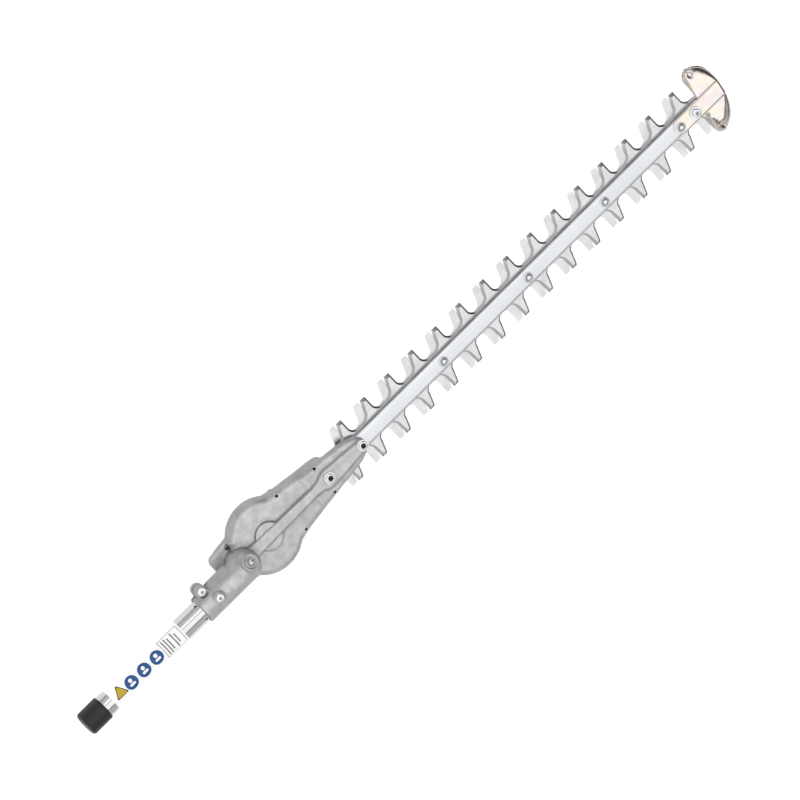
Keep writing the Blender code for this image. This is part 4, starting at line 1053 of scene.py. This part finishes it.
def wrapped(name, outline, middle, material, low, high):
    """A thin patch wrapped on the tube: the outline is (along, round) pairs about (X, degrees from +Z)."""
    flat = np.array(outline, float)
    rings = []
    for radius, shares in ((low, np.linspace(0.002, 1.0, 10)), (high, np.linspace(1.0, 0.002, 10))):
        for share in shares:
            turn = math.radians(middle[1]) + flat[:, 1] * share / TUBE_RADIUS
            rings.append(np.stack([middle[0] + flat[:, 0] * share, radius * np.sin(turn),
                                   TUBE_AXIS + radius * np.cos(turn)], 1))
    piece(name, solid(name, *loft(rings), sharp=50.0), material, body="gearcase")


def finely(points):
    """Puts more points along an outline's straight runs."""
    closer = []
    for (ax, ay), (bx, by) in zip(points, points[1:] + points[:1]):
        parts = max(1, int(math.hypot(bx - ax, by - ay) / OUTLINE_STEP))
        closer += [(ax + (bx - ax) * k / parts, ay + (by - ay) * k / parts) for k in range(parts)]
    return closer


def box_outline(half_long, half_round, radius):
    """A rectangle with rounded corners."""
    points = []
    for side_x, side_y, start in ((1, 1, 0), (-1, 1, 90), (-1, -1, 180), (1, -1, 270)):
        middle = (side_x * (half_long - radius), side_y * (half_round - radius))
        points += arc(radius, start, start + 90, 4, middle)
    return finely(points)


def triangle_outline(size, radius=1.0):
    """A triangle with rounded corners whose flat side faces the far side of the tube."""
    points = []
    for start in (90, 210, 330):
        a = math.radians(start)
        points += arc(radius, start - 60, start + 60, 5, (size * math.cos(a), size * math.sin(a)))
    return finely(points)


def make_label_art():
    """Plain shapes in the places of the label's print: a triangle, three discs and a panel of bars."""
    ink_yellow = film_finish("yellow_ink", (0.86, 0.62, 0.03))
    ink_blue = film_finish("blue_ink", (0.02, 0.13, 0.42))
    ink_black = film_finish("black_ink", (0.03, 0.03, 0.035))
    ink_grey = film_finish("grey_ink", (0.28, 0.28, 0.29))
    ink_white = film_finish("white_ink", FILM_WHITE, glow=FILM_GLOW)
    base, first, second = FILM_RADIUS - 0.06, FILM_RADIUS + 0.05, FILM_RADIUS + 0.12
    side = VIEW_SIDE - 10.0
    wrapped("mark_triangle_border", triangle_outline(7.4), (TRIANGLE_X, side + 3.0), ink_black, base, first)
    wrapped("mark_triangle", triangle_outline(5.7), (TRIANGLE_X, side + 3.0), ink_yellow, base, second)
    for number, x in enumerate(DISC_PLACES, 1):
        wrapped(f"mark_disc_{number}", arc(7.6, 0, 355, 71), (x, side), ink_blue, base, first)
        wrapped(f"mark_bar_{number}", box_outline(3.6, 1.3, 1.2), (x, side - 9.0), ink_white, base, second)
        wrapped(f"mark_dot_{number}", arc(2.1, 0, 350, 35), (x, side + 11.0), ink_white, base, second)
    wrapped("panel_border", box_outline(13.2, 11.4, 1.2), (PANEL_X, side), ink_grey, base, first)
    wrapped("panel_field", box_outline(12.5, 10.7, 1.0), (PANEL_X, side), ink_white, base, second)
    for number, (x, length) in enumerate(PANEL_BARS, 1):
        bar = box_outline(0.75, length, 0.3)
        wrapped(f"panel_bar_{number}", bar, (x, side), ink_grey, base, second + 0.06)
    for number, turn in enumerate((56.0, -33.0), 1):
        wrapped(f"stop_mark_{number}", triangle_outline(1.7, 0.2), (NECK_REAR - 2.8, turn), ink_black,
                TUBE_RADIUS - 0.05, TUBE_RADIUS + 0.08)


def make_cap():
    rear, front = span("end_cap", 0)
    outside = (corner("end_cap", True)[1] - corner("end_cap", False)[1]) / 2
    inside = TUBE_RADIUS + 0.3
    floor = corner("drive_tube", False)[0] - 0.3
    rings = [(0.0, rear + 0.35), (5.0, rear + 0.3), (7.4, rear + 0.02), (9.6, rear), (11.2, rear + 0.2),
             (12.5, rear + 0.8), (13.3, rear + 1.7), (13.75, rear + 2.8), (outside, rear + 4.2)]
    rings += [(outside - 0.1 * (k % 2), rear + 4.2 + (front - rear - 6.0) * k / 9) for k in range(1, 9)]
    rings += [(outside, front - 1.6), (outside - 0.12, front - 0.5), (outside - 0.45, front - 0.1),
              (outside - 0.8, front), (inside + 0.1, front), (inside, front - 0.3), (inside, floor + 0.8),
              (inside - 0.8, floor), (0.0, floor)]
    replacement("end_cap", turned(rings, TUBE_CENTRE, ALONG, 96), VINYL, 40.0)


# ---------------------------------------------------------------- blades and guide bar

PITCH = 35.0
SPINE_HALF = 10.2
TOOTH_REACH = 31.0
TOOTH_TIP_HALF = 3.3
STEEP_FLANK = (0.3, 7.5)
SLOPED_FLANK = (4.6, 10.0)
FLANK_ROOT = 17.5
LEFT_FIRST, LEFT_TEETH = 134.5, 15
LEFT_GULLET_RISE = 1.5
RIGHT_FIRST, RIGHT_TEETH = 113.8, 16
THROW = 8.0
CAM_RADIUS = 14.0
YOKE_PLAY = 0.95
YOKE_END_ROOM = 2.9
YOKE_WALL = 4.0
SLOT_HALF = 3.4
YOKE_OPENING = math.radians(33)
LAND = 0.9
SHOULDER = 1.6
BEVEL = 1.9
LEFT_TIP_BEVEL = 3.6
RIGHT_TIP_BEVEL = 2.2
NO_BEVEL = 0.12
STRAIGHT_ON = 0.25


def tooth(middle, steep_front):
    """One tooth that points to +Y, from its rear gullet to its front gullet."""
    sides = []
    for spread, gullet in (STEEP_FLANK, SLOPED_FLANK):
        root = (TOOTH_TIP_HALF + spread, FLANK_ROOT)
        end = (root[0] + gullet, SPINE_HALF)
        side = [(TOOTH_TIP_HALF - 0.5, TOOTH_REACH), (TOOTH_TIP_HALF, TOOTH_REACH - 0.5)]
        side += [(TOOTH_TIP_HALF + spread * k / 4, TOOTH_REACH + (FLANK_ROOT - TOOTH_REACH) * k / 4)
                 for k in range(1, 5)]
        for a in [math.pi / 2 * k / 8 for k in range(1, 9)]:
            side.append((end[0] - gullet * math.cos(a), root[1] - (root[1] - end[1]) * math.sin(a)))
        sides.append(side)
    front, rear = sides if steep_front else sides[::-1]
    return [(middle - x, y) for x, y in reversed(rear)] + [(middle + x, y) for x, y in front]


def oval(half_long, half_wide, middle_x, steps):
    """A slot outline with round ends; half_long counts along X to the end of the round."""
    reach = half_long - half_wide
    right = arc(half_wide, -90, 90, steps, (middle_x + reach, 0.0))
    left = arc(half_wide, 90, 270, steps, (middle_x - reach, 0.0))
    return right + left


def tall_oval(half_tall, half_wide, middle_x):
    return [(middle_x - y, x) for x, y in oval(half_tall, half_wide, 0.0, 16)]


def blade_outline(offset, yoke_x, end):
    """The whole blade: yoke ring at the tail, a narrow spine and teeth on both edges."""
    left, right = [], []
    for k in range(LEFT_TEETH):
        left += tooth(LEFT_FIRST + offset + PITCH * k, True)
    for k in range(RIGHT_TEETH):
        right += [(x, -y) for x, y in tooth(RIGHT_FIRST + offset + PITCH * k, False)]
    right = [(x, y) for x, y in right if x < end - 1.0 or y < -SPINE_HALF - 0.5]
    shallower = 1.0 - LEFT_GULLET_RISE / (TOOTH_REACH - SPINE_HALF)
    left = [(x, TOOTH_REACH - (TOOTH_REACH - y) * shallower) for x, y in left if x < end - 1.0]
    half_x = CAM_RADIUS + YOKE_PLAY + YOKE_WALL
    half_y = CAM_RADIUS + THROW + YOKE_END_ROOM + YOKE_WALL

    def bearing_of(point):
        return math.atan2(point[1], point[0] - yoke_x) % (2 * math.pi)

    ring = sorted(tall_oval(half_y, half_x, yoke_x), key=bearing_of)
    ring = [point for point in ring if YOKE_OPENING < bearing_of(point) < 2 * math.pi - YOKE_OPENING]
    start = yoke_x + half_x + 5.0
    shoulder = [(end - 4.0, SPINE_HALF)] if left[-1][0] < end - 4.0 else []
    outline = [(start, SPINE_HALF)] + left + shoulder + [(end, SPINE_HALF - 4.0), (end, 4.0 - SPINE_HALF)]
    return outline + list(reversed(right)) + [(start, -SPINE_HALF)] + list(reversed(ring))


def edge_normals(outline):
    """The next point and the outward direction of every edge of an outline."""
    points = np.array(outline)
    after = np.roll(points, -1, axis=0)
    edge = after - points
    length = np.maximum(np.linalg.norm(edge, axis=1), 1e-6)
    area = np.sum(points[:, 0] * after[:, 1] - after[:, 0] * points[:, 1])
    outward = np.stack([edge[:, 1], -edge[:, 0]], 1) / length[:, None] * np.sign(area)
    return after, outward


def shaded_bevel_edges(outline):
    """Which edges carry the bevels painted with shade: the tooth tips and the flanks that face the bar's end.
    """
    after, outward = edge_normals(outline)
    middle = (np.array(outline) + after) / 2
    at_tip = np.abs(middle[:, 1]) > TOOTH_REACH - 0.3
    return at_tip | ((outward[:, 0] > 0.35) & (np.abs(middle[:, 1]) > SPINE_HALF - 0.1))


def bevelled(outline, first_tooth):
    """The outline moved inwards by the width of the ground bevel: wide behind a tooth, narrow before it."""
    points = np.array(outline)
    after, outward = edge_normals(outline)
    middle = (points + after) / 2
    reach = np.clip((np.abs(middle[:, 1]) - SPINE_HALF) / (TOOTH_REACH - SPINE_HALF), 0.0, 1.0)
    width = BEVEL + (2.0 * reach - 0.4) * np.maximum(-outward[:, 0], 0.0)
    at_tip = np.abs(middle[:, 1]) > TOOTH_REACH - 0.3
    width = np.where(at_tip, np.where(middle[:, 1] > 0, LEFT_TIP_BEVEL, RIGHT_TIP_BEVEL), width)
    plain = (middle[:, 0] < first_tooth) | (np.abs(middle[:, 1]) < SPINE_HALF - 0.1)
    width = np.where(plain, NO_BEVEL, width)
    before = np.roll(np.arange(len(points)), 1)
    n0, n1, d0, d1 = outward[before], outward, width[before], width
    cross = n0[:, 0] * n1[:, 1] - n0[:, 1] * n1[:, 0]
    straight = np.abs(cross) < STRAIGHT_ON
    safe = np.where(straight, 1.0, cross)
    solved = np.stack([(d0 * n1[:, 1] - d1 * n0[:, 1]) / safe, (d1 * n0[:, 0] - d0 * n1[:, 0]) / safe], 1)
    average = (n0 + n1) / np.maximum(np.linalg.norm(n0 + n1, axis=1), 1e-6)[:, None]
    shift = np.where(straight[:, None], average * ((d0 + d1) / 2)[:, None], solved)
    return points - shift


def blade_holes(yoke_x, side):
    """The cam's window, and a slot for each bolt that is as long as the blade's travel."""
    rest = abs(yoke_x)
    travel = (-THROW - rest, THROW - rest) if side > 0 else (rest - THROW, rest + THROW)
    half_slot = (travel[1] - travel[0]) / 2 + SLOT_HALF
    holes = [tall_oval(CAM_RADIUS + THROW + YOKE_END_ROOM, CAM_RADIUS + YOKE_PLAY, yoke_x)]
    for name in NOSE_BOLTS + BAR_BOLTS:
        holes.append(oval(half_slot, SLOT_HALF, centre(name)[0] - sum(travel) / 2, 10))
    return holes


def blade_mesh(name, outline, inner, holes, face, back):
    """A pierced plate with a flat face, a narrow land round its edge and bevels up to its back."""
    work = bmesh.new()

    def loop(points, height):
        return [work.verts.new((x * MM, y * MM, (height + CUT_PLANE) * MM)) for x, y in points]

    def band(first_loop, second_loop, materials=None):
        for k in range(len(first_loop)):
            after = (k + 1) % len(first_loop)
            corners = (first_loop[k], first_loop[after], second_loop[after], second_loop[k])
            work.faces.new(corners).material_index = materials[k] if materials else 0

    step = LAND if back > face else -LAND
    foot, land, top = loop(outline, face), loop(outline, face + step), loop(inner, back)
    band(foot, land)
    # bevels at the tips and on the flanks facing the bar's end get the painted-shade material
    band(land, top, [2 if shaded else 1 for shaded in shaded_bevel_edges(outline)])
    face_loops, back_loops = [foot], [top]
    for points in holes:
        face_loops.append(loop(points, face))
        back_loops.append(loop(points, back))
        band(face_loops[-1], back_loops[-1])
    for loops in (face_loops, back_loops):
        edges = []
        for each in loops:
            edges += [work.edges.get((each[k], each[(k + 1) % len(each)])) for k in range(len(each))]
        bmesh.ops.triangle_fill(work, use_beauty=True, use_dissolve=False, edges=edges)
    bmesh.ops.recalc_face_normals(work, faces=work.faces)
    mesh = bpy.data.meshes.new(name)
    work.to_mesh(mesh)
    work.free()
    mesh.shade_smooth()
    mesh.set_sharp_from_angle(angle=math.radians(18.0))
    return mesh


def make_blade(node, side):
    """A blade whose flat cutting face is towards the other blade; side is +1 for the upper one."""
    offset = 0.0 if side > 0 else corner("lower_blade", True)[0] - corner("upper_blade", True)[0]
    yoke_x = centre("upper_cam" if side > 0 else "lower_cam")[0]
    low, high = span(node, 2)
    face, back = (low, high) if side > 0 else (high, low)
    outline = blade_outline(offset, yoke_x, corner(node, True)[0])
    inner = bevelled(outline, RIGHT_FIRST + offset - 14.0)
    mesh = blade_mesh(node + "_fine", outline, inner, blade_holes(yoke_x, side), face, back)
    piece(node + "_fine", mesh, [BLADE_STEEL, BEVEL_STEEL, BEVEL_SHADE], node)


def make_guide_bar():
    """An extruded bar with rounded shoulders and chamfered ends, drilled for its bolts."""
    (rear, front), (low, high) = span("guide_bar", 0), span("guide_bar", 2)
    half = corner("guide_bar", True)[1]
    side = [(0.0, high), (half - 2 * SHOULDER, high)]
    side += [(half - SHOULDER + SHOULDER * math.sin(a), high - SHOULDER + SHOULDER * math.cos(a))
             for a in np.radians(np.linspace(15, 90, 6))]
    side += [(half, low + 0.5), (half - 0.5, low), (0.0, low)]
    section = side + [(-y, z) for y, z in reversed(side[1:-1])]
    stations = [(rear, 0.4), (rear + 0.4, 0.0)]
    stations += [(rear + (front - rear) * k / 16, 0.0) for k in range(1, 16)]
    stations += [(front - 0.4, 0.0), (front, 0.4)]
    middle = (low + high) / 2
    rings = []
    for x, inset in stations:
        shrink_y, shrink_z = 1 - inset / half, 1 - 2 * inset / (high - low)
        rings.append([(x, y * shrink_y, middle + (z - middle) * shrink_z) for y, z in section])
    mesh = solid("guide_bar_fine", *loft(rings), sharp=22.0)
    mesh = drilled(mesh, NOSE_BOLTS + ["tip_bolt"] + BAR_BOLTS, -5.0, 15.0, sharp=22.0)
    # the side walls below the shoulders get the painted-shade material
    second_material(mesh, lambda point: abs(point[1]) > half - 0.25 and point[2] < high - 1.0)
    piece("guide_bar_fine", mesh, [BAR_METAL, BAR_SIDE_SHADE], "guide_bar")


# ---------------------------------------------------------------- tip guard

SHEET = 1.6
GUARD_TOP = corner("guide_bar", True)[2] - CUT_PLANE + 0.3 + SHEET / 2
GUARD_HALF_SPAN = 38.2
GUARD_REAR = 640.9
DOME_START = 639.5
GUARD_FRONT = 669.2
GUARD_POWER = 2.6
REAR_SLANT = 0.105
FRONT_SLANT = 0.125
END_RADIUS = 8.0
FOLD = 8.0
FOLD_DROP = 1.2
WING_SLOPE = 0.03
CURL_WIDTH = 9.0
CURL_DEPTH = 4.2
DIMPLE_RADIUS = 3.3
DIMPLE_DEPTH = 2.2
NUDGE = 0.05
STEEPEST = 6.0
RIM_POINTS = 600
LIP = ((0.15, 0.5), (0.35, 0.9), (0.9, 1.3), (1.5, 1.5))


def guard_edges(y):
    """Rear and front edge of the wings at a distance to the left."""
    away = min(abs(y), GUARD_HALF_SPAN)
    beyond = max(0.0, away - (GUARD_HALF_SPAN - END_RADIUS))
    turn = END_RADIUS - math.sqrt(max(0.0, END_RADIUS ** 2 - beyond ** 2))
    dome = (1 - (away / GUARD_HALF_SPAN) ** GUARD_POWER) ** (1 / GUARD_POWER)
    rear = GUARD_REAR + turn + REAR_SLANT * y
    front = DOME_START + (GUARD_FRONT - DOME_START) * dome + FRONT_SLANT * y
    return rear, max(front, rear + 0.5)


def rim_shares(points):
    """How fully the rim curls down at each point of the outline: not where the stem joins."""
    rears = np.array([guard_edges(y)[0] for y in points[:, 1]])
    away = np.abs(points[:, 1])
    rear_share = np.clip((away - 10.0) / 5.0, 0.0, 1.0) * np.clip(0.25 + (away - 18.0) / 14.0, 0.25, 1.0)
    front_share = 0.18 + 0.82 * np.clip((away - 9.0) / 17.0, 0.0, 1.0)
    return np.where(points[:, 0] < rears + 2.0, rear_share, front_share)


def guard_height(plan, border, shares):
    """Middle of the sheet: a raised channel, gentle wings, a curled rim and two pressed dimples."""
    x, y = plan[..., 0], plan[..., 1]
    away = np.abs(y)
    fold = np.clip((away - FOLD + 0.5) / 1.6, 0.0, 1.0)
    fold = fold * fold * (3 - 2 * fold) * FOLD_DROP
    height = GUARD_TOP - fold - WING_SLOPE * np.maximum(0.0, away - FOLD)
    nearest, share = np.full(x.shape, 1e6), np.ones(x.shape)
    for (bx, by), value in zip(border, shares):
        gap = np.hypot(x - bx, y - by)
        closer = gap < nearest
        nearest = np.where(closer, gap, nearest)
        share = np.where(closer, value, share)
    width = 1.5 + (CURL_WIDTH - 1.5) * share
    inward = np.clip(1.0 - nearest / width, 0.0, 0.992)
    height = height - CURL_DEPTH * (0.2 + 0.8 * share) * (1.0 - np.sqrt(1.0 - inward ** 2)) * (share > 0.001)
    for side in (1, -1):
        rear, front = guard_edges(side * (GUARD_HALF_SPAN - 7.0))
        gap = np.hypot(x - (rear + front) / 2 + 2.0, y - side * (GUARD_HALF_SPAN - 5.6))
        height = height - DIMPLE_DEPTH * np.exp(-(gap / DIMPLE_RADIUS) ** 4)
    return height


def even(points, count):
    """A closed outline as evenly spaced points."""
    closed = np.vstack([points, points[:1]])
    along = np.concatenate([[0.0], np.cumsum(np.linalg.norm(np.diff(closed, axis=0), axis=1))])
    steps = np.linspace(0.0, along[-1], count, endpoint=False)
    return np.column_stack([np.interp(steps, along, closed[:, axis]) for axis in range(2)])


def wing_plan():
    """A grid of plan points whose columns run along X, closer together at the folds and the ends."""
    close = [FOLD - 0.5 + 0.4 * k for k in range(5)]
    middle = list(np.linspace(0.0, FOLD - 1.0, 7))
    outer = list(np.linspace(FOLD + 1.8, GUARD_HALF_SPAN - 8.0, 18))
    ends = list(GUARD_HALF_SPAN - 8.0 + 7.99 * np.sin(np.radians(np.linspace(4, 90, 34))))
    half = middle + close + outer + ends
    steps = 0.5 - 0.5 * np.cos(np.pi * np.linspace(0, 1, 56))
    columns = []
    for y in [-value for value in reversed(half[1:])] + half:
        rear, front = guard_edges(y)
        columns.append([(rear + (front - rear) * share, y) for share in steps])
    return np.array(columns)


def sheet_sides(plan, rim):
    """The sheet's upper and lower points over a grid of plan points."""
    curl = rim_shares(rim)
    height = guard_height(plan, rim, curl)
    slope_x = (guard_height(plan + (NUDGE, 0), rim, curl) - height) / NUDGE
    slope_y = (guard_height(plan + (0, NUDGE), rim, curl) - height) / NUDGE
    normal = np.stack([-slope_x, -slope_y, np.ones(height.shape)], 2)
    normal[:, :, :2] = np.clip(normal[:, :, :2], -STEEPEST, STEEPEST)
    normal /= np.linalg.norm(normal, axis=2)[:, :, None]
    middle = np.concatenate([plan, height[:, :, None]], 2)
    return middle + normal * SHEET / 2, middle - normal * SHEET / 2


def sheet_border(columns, rows):
    """The grid places round the edge of a sheet, in order."""
    loop = [(0, k) for k in range(rows - 1)] + [(k, rows - 1) for k in range(columns - 1)]
    loop += [(columns - 1, rows - 1 - k) for k in range(rows - 1)]
    return loop + [(columns - 1 - k, 0) for k in range(columns - 1)]


def lip_rings(upper, lower, border):
    """Rings that carry the sheet's edge out and down, first on its outside and then back on its inside."""
    tangent = np.roll(border, -1, axis=0) - np.roll(border, 1, axis=0)
    outward = np.stack([tangent[:, 1], -tangent[:, 0]], 1)
    outward /= np.maximum(np.linalg.norm(outward, axis=1), 1e-9)[:, None]
    shares = rim_shares(border)
    shares = np.where(shares > 0.001, np.maximum(shares, 0.45), 0.0)
    outside, inside = [], []
    for out, drop in LIP:
        shift = np.column_stack([outward * (out * shares)[:, None], -drop * shares])
        outside.append(upper + shift)
        inside.append(lower + shift + (0.0, 0.0, -0.01))
    return outside + inside[::-1]


def guard_wings():
    """The wings as one closed sheet: upper side, lower side and the lip round the edge."""
    plan = wing_plan()
    columns, rows = plan.shape[:2]
    loop = sheet_border(columns, rows)
    border = np.array([plan[place] for place in loop])
    upper, lower = sheet_sides(plan, even(border, RIM_POINTS))
    verts = list(map(tuple, upper.reshape(-1, 3))) + list(map(tuple, lower.reshape(-1, 3)))
    faces = []
    for i in range(columns - 1):
        for k in range(rows - 1):
            a, b, c, d = i * rows + k, i * rows + k + 1, (i + 1) * rows + k + 1, (i + 1) * rows + k
            faces += [(a, b, c, d), tuple(index + columns * rows for index in (d, c, b, a))]
    edge_upper, edge_lower = (np.array([side[place] for place in loop]) for side in (upper, lower))
    rings = [[i * rows + k for i, k in loop]]
    for ring in lip_rings(edge_upper, edge_lower, border):
        rings.append(list(range(len(verts), len(verts) + len(loop))))
        verts += list(map(tuple, ring))
    rings.append([columns * rows + i * rows + k for i, k in loop])
    for first, second in zip(rings, rings[1:]):
        for k in range(len(loop)):
            after = (k + 1) % len(loop)
            faces.append((first[k], first[after], second[after], second[k]))
    return solid("tip_guard_wings", verts, faces, sharp=75.0)


def make_tip_guard():
    wings = guard_wings()
    stem = solid("tip_guard_fine", *stem_sheet(), sharp=75.0)
    stem = drilled(stem, ["bar_bolt_4", "tip_bolt"], 0.0, 25.0, sharp=75.0)
    piece("tip_guard_fine", merged(stem, wings), GUARD_STEEL, "tip_guard")


def merged(first, second):
    """Adds the second mesh to the first."""
    work = bmesh.new()
    work.from_mesh(first)
    work.from_mesh(second)
    work.to_mesh(first)
    work.free()
    return first


def stem_sheet():
    """The channel over the bar: a flat top with folded edges and a round rear end."""
    rear, half = corner("tip_guard", False)[0], FOLD + 0.9
    stations = [(rear + half * 0.9 * (1 - math.cos(math.radians(a))), half * math.sin(math.radians(a)))
                for a in np.linspace(8, 90, 14)]
    stations += [(x, half) for x in np.linspace(rear + half * 0.9 + 3.0, GUARD_REAR + 2.5, 10)]
    rings = []
    for x, reach in stations:
        inner = reach * (FOLD - 0.5) / half
        outer = (reach * 2 + inner) / 3
        top = [(-reach, -1.1), (-reach, -0.4), (-outer, 0.3), (-inner, 0.77), (-inner * 0.9, 0.79),
               (0.0, 0.79)]
        section = top + [(-y, z) for y, z in reversed(top[:-1])]
        section += [(reach * 0.94, -1.12), (0.0, -0.8), (-reach * 0.94, -1.12)]
        rings.append([(x, y, GUARD_TOP + z) for y, z in section])
    return loft(rings)


# ---------------------------------------------------------------- build

make_casting()
make_cover()
make_fasteners()
make_tube()
make_film()
make_label_art()
make_cap()
make_blade("upper_blade", 1)
make_blade("lower_blade", -1)
make_guide_bar()
make_tip_guard()


def finish_cad_nodes():
    """Every CAD node that is still shown gets the material of its own slot."""
    for name, node in frame["nodes"].items():
        node.data.materials.clear()
        node.data.materials.append(SLOT_MATERIAL[SLOT_OF[name]])


finish_cad_nodes()
